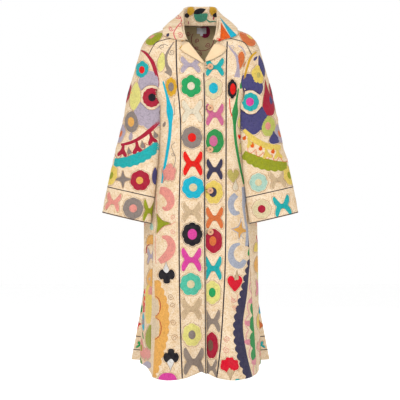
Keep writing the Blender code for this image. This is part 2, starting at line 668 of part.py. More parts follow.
def collar(back_walls):
    """The collar: a stand on the neck seam, a roll, and a fall that lies over the shoulders."""
    top = SKIRT_ROWS + BACK_ROWS - 2
    first = STRIP_COLUMNS - 1
    last = first + NECK_COLUMNS
    left_side = back_walls[:, top:, first][:, ::-1]
    nape = back_walls[:, top, first:last + 1]
    right_side = back_walls[:, top:, last]
    seam = np.concatenate([left_side[:, :-1], nape, right_side[:, 1:]], axis=1)
    side_alongs = np.linspace(NAPE_ALONG, SEAM_ALONG, OVER_ROWS + 1)
    alongs = np.concatenate([side_alongs[::-1][:-1], np.linspace(NAPE_ALONG, -NAPE_ALONG, NECK_COLUMNS + 1)])
    alongs = np.concatenate([alongs, -side_alongs[1:]])
    ends = []
    for sign in (1, -1):
        free = np.linspace(SEAM_ALONG, 1, 4)[1:]
        place = neck_line(free)
        point = over(sign * place[:, 0], place[:, 1])
        out = normals(over, sign * place[:, 0], place[:, 1])
        ends.append((sign * free, np.stack([point, point - out * WALL])))
    alongs = np.concatenate([ends[0][0][::-1], alongs, ends[1][0]])
    seam = np.concatenate([ends[0][1][:, ::-1], seam, ends[1][1]], axis=1)

    size, sign = np.abs(alongs), np.sign(alongs + 1e-9)
    columns = {name: smooth(COLLAR, "along", name, size) for name in COLLAR[0]._fields[1:]}
    fold = np.stack([sign * columns["fold_x"], columns["fold_y"], columns["fold_z"]], -1)
    edge_x, edge_turn = sign * columns["edge_x"], np.radians(columns["edge_turn"])
    edge_out = normals(over, edge_x, edge_turn)
    edge = over(edge_x, edge_turn) + edge_out * COLLAR_LIFT

    outer, inner = seam
    middle = (outer + inner) / 2
    tangent = unit(np.gradient(middle, axis=0))
    rise = unit(np.cross(unit(outer - inner), tangent))
    rise *= np.sign(np.sum(rise * (fold - middle), -1, keepdims=True))
    away = unit((edge - middle) * np.array([1.0, 1.0, 0.0]))
    down = np.array([0, 0, COLLAR_ROLL])
    before = fold - away * COLLAR_ROLL - down
    after = fold + away * COLLAR_ROLL - down
    start = middle + rise * SEAM_GAP
    stand = middle * 0.5 + before * 0.5 + away * COLLAR_STAND_BOW
    fall = after * 0.45 + edge * 0.55 + edge_out * COLLAR_LIFT
    knots = (start, stand, before, fold, after, fall, edge)
    line = through(knots, COLLAR_KNOTS, np.linspace(0, 1, COLLAR_STEPS))
    fallen = COLLAR_STEPS * 6 // 10
    line[fallen:] = clear_shoulders(line[fallen:], COLLAR_LIFT)
    walls = about_line(line, outer - inner)
    walls[:, 0] = seam + rise * SEAM_GAP
    return walls


def clear_shoulders(points, need):
    """Moves points out of the body above the underarm until they are this far from it."""
    turns = np.radians(np.linspace(-130, 130, 131))
    x = points[..., :1] + 0 * turns
    surface = over(x, turns + 0 * x)
    nearest = np.argmin(np.sum((surface - points[..., None, :]) ** 2, -1), axis=-1)
    turn = turns[nearest]
    out = normals(over, points[..., 0], turn)
    away = np.sum((points - over(points[..., 0], turn)) * out, -1)
    return points + out * np.maximum(need - away, 0)[..., None]


def through(knots, steps, samples):
    """A smooth line through knots, each an array of points, at the given steps along it."""
    Knot = namedtuple("Knot", "at value")
    line = np.zeros((len(samples),) + knots[0].shape)
    for place in np.ndindex(knots[0].shape):
        rows = [Knot(step, knot[place]) for step, knot in zip(steps, knots)]
        line[(slice(None), *place)] = smooth(rows, "at", "value", samples)
    return line


def about_line(line, outward):
    """A wall either side of a grid of points, its first face on the side that outward points to."""
    out = unit(np.cross(np.gradient(line, axis=0), np.gradient(line, axis=1)))
    out *= np.sign(np.sum(out[1] * outward))
    return np.stack([line + out * WALL / 2, line - out * WALL / 2])


def button(node, centre, out):
    """A round wooden button with a raised rim, a dished middle, four holes and a thread shank."""
    r, t = BUTTON_RADIUS, BUTTON_THICKNESS
    profile = (
        (0.0, -SHANK_HEIGHT), (SHANK_RADIUS, -SHANK_HEIGHT), (SHANK_RADIUS, 0.0), (r * 0.75, 0.0),
        (r, t * 0.45), (r * 0.93, t), (r * 0.74, t * 0.93), (r * 0.6, t * 0.7), (0.0, t * 0.66),
    )
    mesh = bmesh.new()
    verts = [mesh.verts.new((radius, 0, z)) for radius, z in profile]
    edges = [mesh.edges.new(pair) for pair in zip(verts, verts[1:])]
    bmesh.ops.spin(mesh, geom=verts + edges, axis=(0, 0, 1), cent=(0, 0, 0), steps=14, angle=2 * math.pi)
    bmesh.ops.remove_doubles(mesh, verts=mesh.verts, dist=1e-6)
    made = finish(node, mesh, "wood")
    for sign_x in (-1, 1):
        for sign_z in (-1, 1):
            bit = bmesh.new()
            bmesh.ops.create_cone(
                bit, cap_ends=True, segments=6, depth=t * 4,
                radius1=BUTTON_HOLE_RADIUS, radius2=BUTTON_HOLE_RADIUS,
            )
            shift = (sign_x * BUTTON_HOLE_SPACING, sign_z * BUTTON_HOLE_SPACING, t)
            bmesh.ops.translate(bit, verts=bit.verts, vec=shift)
            cutter = finish(node + "_cutter", bit, "wood")
            cut = made.modifiers.new("hole", "BOOLEAN")
            cut.operation = "DIFFERENCE"
            cut.solver = "EXACT"
            cut.object = cutter
            bpy.context.view_layer.objects.active = made
            bpy.ops.object.modifier_apply(modifier="hole")
            bpy.data.objects.remove(cutter, do_unlink=True)
    up = np.array([0.0, 0.0, 1.0])
    side = unit(np.cross(up, out))
    lift = np.cross(out, side)
    for vertex in made.data.vertices:
        x, y, z = vertex.co
        vertex.co = centre + side * x + lift * y + out * (z + SHANK_HEIGHT)
    return made


def loop(node, z):
    """A thread loop from the right front's edge round the button's shank and back."""
    edge = float(straight(RIGHT_EDGE, "z", "x", z)) if z > UNDERARM_Z else LAP
    start_x = edge + SEAM_GAP + LOOP_RADIUS * 0.2
    turns = np.radians(np.linspace(100, -100, 7))
    path = [(start_x, LOOP_HALF_WIDTH * 0.8), (start_x + 0.35 * (BUTTON_X - start_x), LOOP_HALF_WIDTH)]
    path += [(BUTTON_X + LOOP_END_RADIUS * math.cos(a), LOOP_END_RADIUS * math.sin(a)) for a in turns]
    path += [(path[1][0], -path[1][1]), (path[0][0], -path[0][1])]
    path = np.array(path)
    x, height = path[:, 0], z + path[:, 1]
    rise = np.clip((x - start_x) / (BUTTON_X - start_x), 0, 1)
    point, out = front_place(x, height)
    above = LOOP_RADIUS + LOOP_LIFT - tuck(x, height)
    centre = point + out * (-WALL / 2 * (1 - rise) + above * rise)[:, None]
    along = unit(np.gradient(centre, axis=0))
    flat = unit(np.cross(along, out))
    rounds = np.radians(np.arange(0, 360, 72))
    mesh = bmesh.new()
    rings = []
    for c, o, f in zip(centre, out, flat):
        rings.append([mesh.verts.new(c + (o * math.sin(a) + f * math.cos(a)) * LOOP_RADIUS) for a in rounds])
    for low, high in zip(rings, rings[1:]):
        for k in range(len(rounds)):
            n = (k + 1) % len(rounds)
            mesh.faces.new([low[k], low[n], high[n], high[k]])
    mesh.faces.new(rings[0])
    mesh.faces.new(rings[-1][::-1])
    return finish(node, mesh, "thread")


def front_place(x, z):
    """The body's surface on the front, by distance from the middle and height, and the way out of it."""
    x, z = np.broadcast_arrays(np.asarray(x, float), np.asarray(z, float))
    turn, share = -turn_at(x, z), x / half_girth(z)
    low = (z < UNDERARM_Z)[..., None]
    point = np.where(low, around(share, z), over(x, turn))
    return point, np.where(low, normals(around, share, z), normals(over, x, turn))


def label():
    """The blank label with its hanging tab, on the inside of the back just below the neck seam."""
    wide, tab = LABEL_WIDTH / 2, TAB_WIDTH / 2
    left, middle, right = np.linspace(-wide, -tab, 4), np.linspace(-tab, tab, 3), np.linspace(tab, wide, 4)
    x = LABEL_X + np.concatenate([left, middle[1:], right[1:]])
    bottom = LABEL_TOP_Z - LABEL_HEIGHT
    z = np.concatenate([
        np.linspace(bottom - TAB_HEIGHT, bottom, 3), np.linspace(bottom, LABEL_TOP_Z, 4)[1:],
    ])
    x, z = np.meshgrid(x, z)
    turn = turn_at(x, z)
    point, out = over(x, turn), normals(over, x, turn)
    return np.stack([point - out * (WALL + LABEL_GAP), point - out * (WALL + LABEL_GAP + LABEL_WALL)])


def label_present(i, j):
    return i >= 2 or 3 <= j < 5


def armhole_of(side, front_walls, gore_walls, back_walls):
    """The points round an armhole: under the arm from front to back, over the shoulder, down the front."""
    under = gore_walls[:, -1]
    column = 0 if side > 0 else -1
    behind = back_walls[:, SKIRT_ROWS - 1:, column]
    before = front_walls[:, SKIRT_ROWS - 1:, -1][:, ::-1]
    return np.concatenate([under, behind[:, 1:], before[:, 1:-1]], axis=1)


def build():
    remove_everything()
    back_walls = back()
    neck_walls = back_walls.copy()
    for side, name in ((-1, "right"), (1, "left")):
        front_walls = front(side)
        gore_walls = gore(side)
        armhole = armhole_of(side, front_walls, gore_walls, back_walls).copy()
        for edge in ("last", "high"):
            trim(front_walls, edge)
        for edge in ("first", "last", "high"):
            trim(gore_walls, edge)
        solid(f"front_{name}", front_walls, "cloth")
        solid(f"side_{name}", gore_walls, "cloth")
        solid(f"sleeve_{name}", sleeve(side, armhole), "cloth", closed=True)
        solid(f"lapel_{name}", lapel(side), "facing")
    solid("collar", collar(neck_walls), "cloth")
    trim(back_walls, "first")
    trim(back_walls, "last")
    trim(back_walls[:, :, :STRIP_COLUMNS], "high")
    trim(back_walls[:, :, -STRIP_COLUMNS:], "high")
    solid("back", back_walls, "cloth", present=back_present)
    solid("label", label(), "label", present=label_present)
    for n in range(BUTTON_COUNT):
        z = BUTTON_TOP_Z - n * BUTTON_PITCH
        point, out = front_place(BUTTON_X, z)
        sunk = float(tuck(BUTTON_X, z))
        button(f"button_{n + 1}", point - out * (sunk - 2 * SEAM_GAP), out)
        loop(f"button_loop_{n + 1}", z)


build()
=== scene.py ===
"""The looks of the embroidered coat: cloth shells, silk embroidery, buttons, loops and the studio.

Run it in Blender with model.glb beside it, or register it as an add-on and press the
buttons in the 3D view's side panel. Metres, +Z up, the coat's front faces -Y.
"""

import math
from collections import namedtuple
from functools import lru_cache

import bmesh
import bpy
import numpy as np
from mathutils import Matrix, Vector
from mathutils.bvhtree import BVHTree
from mathutils.kdtree import KDTree


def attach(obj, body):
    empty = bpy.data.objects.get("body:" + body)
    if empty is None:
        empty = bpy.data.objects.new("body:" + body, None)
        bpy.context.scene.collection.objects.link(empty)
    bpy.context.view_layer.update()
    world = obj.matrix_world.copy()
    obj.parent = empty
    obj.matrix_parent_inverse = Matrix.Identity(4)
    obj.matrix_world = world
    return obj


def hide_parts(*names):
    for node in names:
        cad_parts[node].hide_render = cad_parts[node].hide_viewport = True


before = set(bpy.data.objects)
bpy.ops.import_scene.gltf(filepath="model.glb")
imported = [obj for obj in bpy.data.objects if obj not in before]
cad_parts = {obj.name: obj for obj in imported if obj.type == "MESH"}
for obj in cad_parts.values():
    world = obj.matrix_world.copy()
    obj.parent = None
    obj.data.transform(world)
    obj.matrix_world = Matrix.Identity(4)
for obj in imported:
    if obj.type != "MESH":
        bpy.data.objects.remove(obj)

bl_info = {
    "name": "Embroidered coat",
    "version": (1, 0, 0),
    "blender": (4, 5, 0),
    "location": "View3D > Sidebar > Coat",
    "description": "Cloth, embroidery, buttons and studio for a long embroidered coat",
    "category": "Object",
}


# How finely the shells are divided
SKIRT_ROWS = 150
FRONT_COLUMNS = 44
SIDE_COLUMNS = 41
STRIP_COLUMNS = 44
NECK_COLUMNS = 36
FRONT_CHEST_ROWS = 17
FRONT_LAPEL_ROWS = 20
BACK_ROWS = 44
BACK_ROW_CROWDING = 1.6
OVER_ROWS = 30
CAP_ROWS = 14
SLEEVE_ROWS = 70
COLLAR_STEPS = 46

# The photograph's view: level, from in front, with the whole coat in a square frame
CAMERA_DISTANCE = 3.2
CAMERA_X = -0.0007
CAMERA_Z = -0.5815
LENS = 84.69
SENSOR = 36.0
MM = 0.001
SAME_PLACE = 0.004
SEARCH_REACH = 3.0

# Thread and stitches
EDGE_SINK = 0.0004
RING_STEP = 0.005
STROKE_STEP = 0.0045

# How much light the cloths and threads give back, beside the colours in their tables
DYE_STRENGTH = 0.8


# Cloth and seams
WALL = 0.002
SEAM_GAP = 0.0003
LAP_GAP = 0.0006
LAP_GAP_AT_HEM = 0.004

# Heights, down from the shoulder ridge
HEM_Z = -1.155
UNDERARM_Z = -0.235
GORE_DIP = 0.014
FOLDS_START_Z = -0.45
FOLD_POWER = 1.8
RING_TOP_Z = -0.10

# Shoulders
NECK_HALF_WIDTH = 0.075
RIDGE_AT_NECK_Z = 0.016
RIDGE_SLOPE = 0.40
SHOULDER_ROUND_X = 0.155
SHOULDER_ROUND = 0.050
RIDGE_ROUND = 0.062
NAPE_SOFTNESS = 0.018

# Seams round the body, as shares of the half girth from centre front (0) to centre back (1)
FRONT_SEAM = 0.31
BACK_SEAM = 0.62
SHOULDER_STRIP = 0.868

# The fronts: the wearer's right front laps over the left, and more so at the hem
LAP = 0.0166
UNDERLAP = 0.006
TUCK_REACH = 0.045
TUCK_AT_HEM = 0.026

# Fastenings
BUTTON_COUNT = 5
BUTTON_TOP_Z = -0.146
BUTTON_PITCH = 0.1352
BUTTON_X = 0.0326
BUTTON_RADIUS = 0.010
BUTTON_THICKNESS = 0.0034
BUTTON_HOLE_RADIUS = 0.0011
BUTTON_HOLE_SPACING = 0.0021
SHANK_RADIUS = 0.0012
SHANK_HEIGHT = 0.0034
LOOP_RADIUS = 0.0008
LOOP_END_RADIUS = 0.0026
LOOP_HALF_WIDTH = 0.0044
LOOP_LIFT = 0.0006

Section = namedtuple("Section", "z half_width front back corner")
BODY = (
    Section(-1.155, 0.205, 0.170, 0.170, 2.2),
    Section(-0.900, 0.192, 0.152, 0.155, 2.2),
    Section(-0.660, 0.190, 0.140, 0.140, 2.25),
    Section(-0.420, 0.182, 0.127, 0.120, 2.3),
    Section(-0.270, 0.189, 0.134, 0.121, 2.3),
    Section(-0.160, 0.200, 0.124, 0.119, 2.3),
    Section(-0.070, 0.218, 0.110, 0.112, 2.3),
    Section(0.060, 0.232, 0.098, 0.106, 2.3),
)

# The hem seen from above: a row for each crest and hollow, and how far the edge lifts there
Fold = namedtuple("Fold", "place share x y lift")
HEM_RIGHT = (
    Fold("centre", 0.000, 0.004, -0.152, 0.017),
    Fold("strip", 0.092, -0.058, -0.198, 0.002),
    Fold("front_crest", 0.149, -0.105, -0.211, 0.000),
    Fold("front_turn", 0.205, -0.143, -0.180, 0.000),
    Fold("side_hollow", 0.316, -0.163, -0.090, 0.001),
    Fold("gore_crest", 0.468, -0.185, 0.037, 0.000),
    Fold("gore_turn", 0.590, -0.213, 0.134, 0.000),
    Fold("back_hollow", 0.630, -0.207, 0.158, 0.001),
    Fold("back_crest", 0.686, -0.248, 0.190, 0.000),
    Fold("back_turn", 0.760, -0.195, 0.228, 0.000),
    Fold("back_dip", 0.880, -0.096, 0.205, 0.002),
    Fold("centre_back", 1.000, 0.000, 0.238, 0.000),
)
HEM_LEFT = (
    Fold("centre", 0.000, 0.004, -0.152, 0.017),
    Fold("strip", 0.085, 0.056, -0.188, 0.003),
    Fold("front_crest", 0.145, 0.102, -0.211, 0.000),
    Fold("front_turn", 0.205, 0.147, -0.181, 0.000),
    Fold("side_turn", 0.293, 0.181, -0.115, 0.001),
    Fold("side_hollow", 0.376, 0.195, -0.047, 0.001),
    Fold("gore_crest", 0.491, 0.203, 0.050, 0.000),
    Fold("gore_turn", 0.592, 0.214, 0.135, 0.000),
    Fold("back_hollow", 0.630, 0.208, 0.158, 0.001),
    Fold("back_crest", 0.686, 0.250, 0.190, 0.000),
    Fold("back_turn", 0.760, 0.195, 0.228, 0.000),
    Fold("back_dip", 0.880, 0.096, 0.205, 0.002),
    Fold("centre_back", 1.000, 0.000, 0.238, 0.000),
)

# Edges above the underarm on one side: x is the distance from the middle, up runs from 0 to 1
Edge = namedtuple("Edge", "up x z")
ARMHOLE_FRONT = (
    Edge(0.00, 0.1530, -0.2350),
    Edge(0.22, 0.1370, -0.2050),
    Edge(0.50, 0.1405, -0.1650),
    Edge(0.75, 0.1500, -0.1280),
    Edge(1.00, 0.1720, -0.0970),
)
ARMHOLE_BACK = (
    Edge(0.00, 0.1750, -0.2350),
    Edge(0.30, 0.1660, -0.1950),
    Edge(0.60, 0.1680, -0.1450),
    Edge(0.85, 0.1840, -0.0900),
    Edge(1.00, 0.1960, -0.0670),
)
SHOULDER_SEAM = (
    Edge(0.00, 0.0660, -0.0400),
    Edge(0.15, 0.0826, -0.0447),
    Edge(0.50, 0.1200, -0.0510),
    Edge(0.80, 0.1520, -0.0640),
    Edge(1.00, 0.1720, -0.0970),
)
# The front edge and the roll line above it, signed: the right front's edge crosses the middle
RIGHT_EDGE = (
    Edge(0.00, LAP, -0.2350),
    Edge(0.45, 0.0137, -0.1360),
    Edge(0.85, -0.0404, -0.0640),
    Edge(1.00, -0.0660, -0.0400),
)
LEFT_EDGE = (
    Edge(0.00, -UNDERLAP, -0.2350),
    Edge(0.38, 0.0030, -0.1490),
    Edge(0.85, 0.0496, -0.0684),
    Edge(1.00, 0.0660, -0.0400),
)

# The armhole where it crosses the shoulder, from the back armhole's end to the front's
Crossing = namedtuple("Crossing", "up x turn")
ARMHOLE_OVER = (
    Crossing(0.00, 0.1960, 40),
    Crossing(0.30, 0.2015, 5),
    Crossing(0.65, 0.1970, -48),
    Crossing(1.00, 0.1720, -96),
)

# The collar, from centre back (0) to the front end (1). The neck and outer edge lie on the body.
Leaf = namedtuple("Leaf", "along neck_x neck_turn fold_x fold_y fold_z edge_x edge_turn")
COLLAR = (
    Leaf(0.00, 0.000, 42, 0.000, 0.074, 0.0895, 0.000, 68),
    Leaf(0.20, 0.034, 31, 0.033, 0.067, 0.0885, 0.062, 60),
    Leaf(0.38, 0.062, 14, 0.054, 0.044, 0.0800, 0.104, 34),
    Leaf(0.54, 0.0735, -14, 0.060, 0.008, 0.0580, 0.121, 0),
    Leaf(0.70, 0.0715, -44, 0.060, -0.034, 0.0270, 0.122, -46),
    Leaf(0.80, 0.0695, -62, 0.0585, -0.060, 0.0040, 0.120, -66),
    Leaf(0.88, 0.0675, -80, 0.056, -0.086, -0.0170, 0.099, -84),
    Leaf(0.92, 0.0660, -87, 0.054, -0.099, -0.0290, 0.086, -91),
    Leaf(1.00, 0.0480, -100, 0.046, -0.117, -0.0530, 0.060, -108),
)
NAPE_ALONG = 0.38
SEAM_ALONG = 0.92
COLLAR_ROLL = 0.0042
COLLAR_LIFT = 0.0050
COLLAR_STAND_BOW = 0.003
COLLAR_KNOTS = (0.0, 0.22, 0.42, 0.52, 0.62, 0.81, 1.0)

# Lapels: the roll line and the outer edge, from the foot of the opening (0) to the notch (1), signed
Lapel = namedtuple("Lapel", "along roll_x roll_z edge_x edge_z")
LAPEL_RIGHT = (
    Lapel(0.00, 0.0130, -0.1351, 0.0105, -0.1375),
    Lapel(0.30, -0.0038, -0.1127, -0.0160, -0.1205),
    Lapel(0.60, -0.0205, -0.0905, -0.0400, -0.1070),
    Lapel(0.85, -0.0340, -0.0725, -0.0704, -0.0881),
    Lapel(1.00, -0.0404, -0.0640, -0.0575, -0.0705),
)
LAPEL_LEFT = (
    Lapel(0.00, 0.0170, -0.1248, 0.0190, -0.1290),
    Lapel(0.30, 0.0272, -0.1072, 0.0420, -0.1225),
    Lapel(0.60, 0.0371, -0.0900, 0.0680, -0.1080),
    Lapel(0.85, 0.0455, -0.0755, 0.0914, -0.0848),
    Lapel(1.00, 0.0490, -0.0695, 0.0665, -0.0690),
)
LAPEL_TURN_RADIUS = 0.001
LAPEL_BOW = 0.0025

# The right sleeve's rings below the armhole; the left one is its mirror image
Ring = namedtuple("Ring", "z x y wide deep turn tilt")
SLEEVE = (
    Ring(-0.262, -0.1890, -0.047, 0.0850, 0.0470, 54, 8),
    Ring(-0.325, -0.1960, -0.056, 0.0840, 0.0450, 48, 9),
    Ring(-0.390, -0.2050, -0.064, 0.0830, 0.0450, 40, 10),
    Ring(-0.455, -0.2150, -0.071, 0.0830, 0.0440, 31, 11),
    Ring(-0.520, -0.2250, -0.077, 0.0825, 0.0425, 22, 12),
    Ring(-0.583, -0.2350, -0.083, 0.0820, 0.0405, 14, 13),
    Ring(-0.642, -0.2440, -0.088, 0.0815, 0.0385, 8, 13),
)
SLEEVE_START_PULL = 0.85
SLEEVE_END_PULL = 0.75
SLEEVE_CLEARANCE = 0.0045

# The blank label inside the back of the neck
LABEL_X = 0.005
LABEL_WIDTH = 0.034
LABEL_TOP_Z = 0.020
LABEL_HEIGHT = 0.017
TAB_WIDTH = 0.010
TAB_HEIGHT = 0.007
LABEL_WALL = 0.001
LABEL_GAP = 0.0012



def unit(vectors):
    return vectors / np.maximum(np.linalg.norm(vectors, axis=-1, keepdims=True), 1e-12)


def smooth(rows, key, value, at):
    """A smooth curve through a table's rows, one column against another."""
    keys = np.array([getattr(row, key) for row in rows], float)
    values = np.array([getattr(row, value) for row in rows], float)
    slopes = np.gradient(values, keys)
    at = np.clip(at, keys[0], keys[-1])
    i = np.clip(np.searchsorted(keys, at) - 1, 0, len(keys) - 2)
    span = keys[i + 1] - keys[i]
    t = (at - keys[i]) / span
    return (
        values[i] * (1 + 2 * t) * (1 - t) ** 2
        + values[i + 1] * t * t * (3 - 2 * t)
        + slopes[i] * span * t * (1 - t) ** 2
        - slopes[i + 1] * span * t * t * (1 - t)
    )


def straight(rows, key, value, at):
    """A broken line through a table's rows, which keeps its corners."""
    return np.interp(at, [getattr(row, key) for row in rows], [getattr(row, value) for row in rows])


def outline(z, shares):
    """Half of the unfolded body at one height, at even shares of the way round, and its length."""
    wide = smooth(BODY, "z", "half_width", z)
    corner = smooth(BODY, "z", "corner", z)
    angle = np.linspace(0, math.pi, 400)
    x = wide * np.sin(angle) ** (2 / corner)
    reach = np.where(angle < math.pi / 2, smooth(BODY, "z", "front", z), smooth(BODY, "z", "back", z))
    y = -np.sign(np.cos(angle)) * reach * np.abs(np.cos(angle)) ** (2 / corner)
    length = np.concatenate([[0], np.cumsum(np.hypot(np.diff(x), np.diff(y)))])
    return np.interp(shares * length[-1], length, x), np.interp(shares * length[-1], length, y), length[-1]


def body_rings(heights=181, steps=160):
    """The folded body from the hem up: an array of height by signed share (-1 to 1) by point."""
    rings, girths = [], []
    shares = np.linspace(0, 1, steps + 1)
    for z in np.linspace(HEM_Z, RING_TOP_Z, heights):
        x, y, girth = outline(z, shares)
        strength = fold_strength(z)
        halves = []
        for side, table in ((-1, HEM_RIGHT), (1, HEM_LEFT)):
            points = np.stack([side * x, y, np.full_like(x, z)], -1)
            points[:, 0] += strength * (smooth(table, "share", "x", shares) - points[:, 0])
            points[:, 1] += strength * (smooth(table, "share", "y", shares) - points[:, 1])
            points[:, 2] += strength * smooth(table, "share", "lift", shares)
            halves.append(points)
        rings.append(np.concatenate([halves[0][::-1], halves[1][1:-1]]))
        girths.append(girth)
    return np.array(rings), np.array(girths)


def fold_strength(z):
    """0 down to the hips, where the skirt hangs plain, rising to 1 at the hem."""
    return np.clip((FOLDS_START_Z - z) / (FOLDS_START_Z - HEM_Z), 0, 1) ** FOLD_POWER


RINGS, GIRTHS = body_rings()


def ring_row(z):
    return (np.asarray(z, float) - HEM_Z) / (RING_TOP_Z - HEM_Z) * (len(RINGS) - 1)


def half_girth(z):
    return np.interp(ring_row(z), np.arange(len(GIRTHS)), GIRTHS)


def around(share, z):
    """The body's outer surface at a signed share of the way round; past 1 it runs on to the other side."""
    share, z = np.broadcast_arrays(np.asarray(share, float), np.asarray(z, float))
    steps = RINGS.shape[1]
    row = ring_row(z)
    low = np.clip(np.floor(row).astype(int), 0, len(RINGS) - 2)
    up = (row - low)[..., None]
    column = (share + 1) % 2 / 2 * steps
    left = np.floor(column).astype(int) % steps
    on = (column - np.floor(column))[..., None]
    right = (left + 1) % steps
    below = RINGS[low, left] * (1 - on) + RINGS[low, right] * on
    above = RINGS[low + 1, left] * (1 - on) + RINGS[low + 1, right] * on
    return below * (1 - up) + above * up


def ridge(x):
    """The height of the shoulder ridge, which runs on over the neck as a soft gable."""
    x = np.sqrt(np.square(x) + NAPE_SOFTNESS**2)
    past = np.clip(x - SHOULDER_ROUND_X, 0, SHOULDER_ROUND)
    drop = SHOULDER_ROUND - np.sqrt(SHOULDER_ROUND**2 - past**2)
    return RIDGE_AT_NECK_Z - RIDGE_SLOPE * (x - NECK_HALF_WIDTH) - drop


def turn_at(x, z):
    """The angle over the shoulder at which the surface has this height."""
    down = np.maximum(ridge(x) - z, 0) / RIDGE_ROUND
    return np.where(down < 1, np.arccos(1 - np.minimum(down, 1)), math.pi / 2 + down - 1)


def over(x, turn):
    """The body above the underarm. turn is 0 on the ridge, positive to the back, negative to the front."""
    size = np.abs(turn)
    down = RIDGE_ROUND * np.where(size < math.pi / 2, 1 - np.cos(size), 1 + size - math.pi / 2)
    z = ridge(x) - down
    wide = smooth(BODY, "z", "half_width", z)
    corner = smooth(BODY, "z", "corner", z)
    reach = np.where(turn > 0, smooth(BODY, "z", "back", z), smooth(BODY, "z", "front", z))
    across = np.maximum(1 - np.minimum(np.abs(x) / wide, 1) ** corner, 0) ** (1 / corner)
    y = np.sign(turn) * reach * across * np.sin(np.minimum(size, math.pi / 2))
    return np.stack([x + 0 * y, y, z], -1)


def normals(surface, a, b, step=0.002):
    """The outward direction square to a surface."""
    along_a = surface(a + step, b) - surface(a - step, b)
    along_b = surface(a, b + step) - surface(a, b - step)
    return unit(np.cross(along_a, along_b))


def wall(surface, a, b, inset=0.0):
    """Outer and inner points on a surface: an array of face by row by column by point."""
    a, b = np.broadcast_arrays(a, b)
    points = surface(a, b)
    out = normals(surface, a, b)
    push = np.broadcast_to(inset, a.shape)[..., None]
    return np.stack([points - out * push, points - out * (push + WALL)])


def stack(*walls):
    """Walls that share a row, one above the other."""
    return np.concatenate([walls[0]] + [w[:, 1:] for w in walls[1:]], axis=1)


def coons(bottom, top, left, right, ups=None):
    """Places inside four edges that meet at their ends, each an array of (x, turn)."""
    q = np.linspace(0, 1, len(bottom))[None, :, None]
    r = (np.linspace(0, 1, len(left)) if ups is None else ups)[:, None, None]
    ruled = (1 - r) * bottom[None] + r * top[None] + (1 - q) * left[:, None] + q * right[:, None]
    return ruled - (
        (1 - q) * (1 - r) * bottom[0] + q * (1 - r) * bottom[-1] + (1 - q) * r * top[0] + q * r * top[-1]
    )


def places(x, z, side_of_body):
    """(x, turn) pairs for points given by their height; side_of_body is -1 in front, 1 behind."""
    return np.stack([x, side_of_body * turn_at(x, z)], -1)


def tuck(x, z):
    """How far the left front lies inside the body surface, under the right front's edge."""
    edge = np.where(z < UNDERARM_Z, LAP, straight(RIGHT_EDGE, "z", "x", z))
    t = np.clip((edge + TUCK_REACH - x) / TUCK_REACH, 0, 1)
    return (WALL + LAP_GAP + LAP_GAP_AT_HEM * fold_strength(z) ** 0.5) * t * t * (3 - 2 * t)


def front(side):
    """A front panel, from its edge to the side seam and from the hem to the shoulder seam."""
    edge = RIGHT_EDGE if side < 0 else LEFT_EDGE
    heights = np.linspace(HEM_Z, UNDERARM_Z, SKIRT_ROWS)
    over_edge = LAP / half_girth(heights)
    under_edge = -(UNDERLAP + TUCK_AT_HEM * fold_strength(heights)) / half_girth(heights)
    first = [over_edge, 0 * heights, under_edge][::-side]
    rest = np.linspace(0, 1, FRONT_COLUMNS - 2)[1:, None]
    shares = np.stack([*first, *(first[2] * (1 - rest) + side * FRONT_SEAM * rest)], -1)
    q = np.linspace(0, 1, FRONT_COLUMNS)
    low = around(shares, heights[:, None])
    sunk = tuck(shares * half_girth(heights)[:, None], heights[:, None])
    skirt = wall(around, shares, heights[:, None], 0.0 if side < 0 else sunk)
    ups = np.concatenate([
        np.linspace(0, edge[1].up, FRONT_CHEST_ROWS),
        np.linspace(edge[1].up, 1, FRONT_LAPEL_ROWS + 1)[1:],
    ])
    bottom = places(low[-1, :, 0], low[-1, :, 2], -1)
    left = places(straight(edge, "up", "x", ups), straight(edge, "up", "z", ups), -1)
    right = places(side * smooth(ARMHOLE_FRONT, "up", "x", ups), smooth(ARMHOLE_FRONT, "up", "z", ups), -1)
    top = places(side * smooth(SHOULDER_SEAM, "up", "x", q), smooth(SHOULDER_SEAM, "up", "z", q), -1)
    left += (bottom[0] - left[0]) * (1 - ups[:, None]) ** 2
    right += (bottom[-1] - right[0]) * (1 - ups[:, None]) ** 2
    grid = coons(bottom, top, left, right)
    high = over(grid[..., 0], grid[..., 1])
    inset = 0.0 if side < 0 else tuck(high[..., 0], high[..., 2])
    return stack(skirt, wall(over, grid[..., 0], grid[..., 1], inset))


def gore(side):
    """A side panel, from the front seam to the back seam and from the hem to the underarm."""
    q = np.linspace(0, 1, SIDE_COLUMNS)
    r = np.linspace(0, 1, SKIRT_ROWS)[:, None]
    top = UNDERARM_Z - GORE_DIP * np.sin(math.pi * q)
    shares = side * (FRONT_SEAM + (BACK_SEAM - FRONT_SEAM) * q)
    return wall(around, shares + 0 * r, HEM_Z + (top - HEM_Z) * r)


def neck_line(along, side=1):
    """(x, turn) pairs on the neck seam."""
    x = side * smooth(COLLAR, "along", "neck_x", along)
    return np.stack([x, np.radians(smooth(COLLAR, "along", "neck_turn", along))], -1)


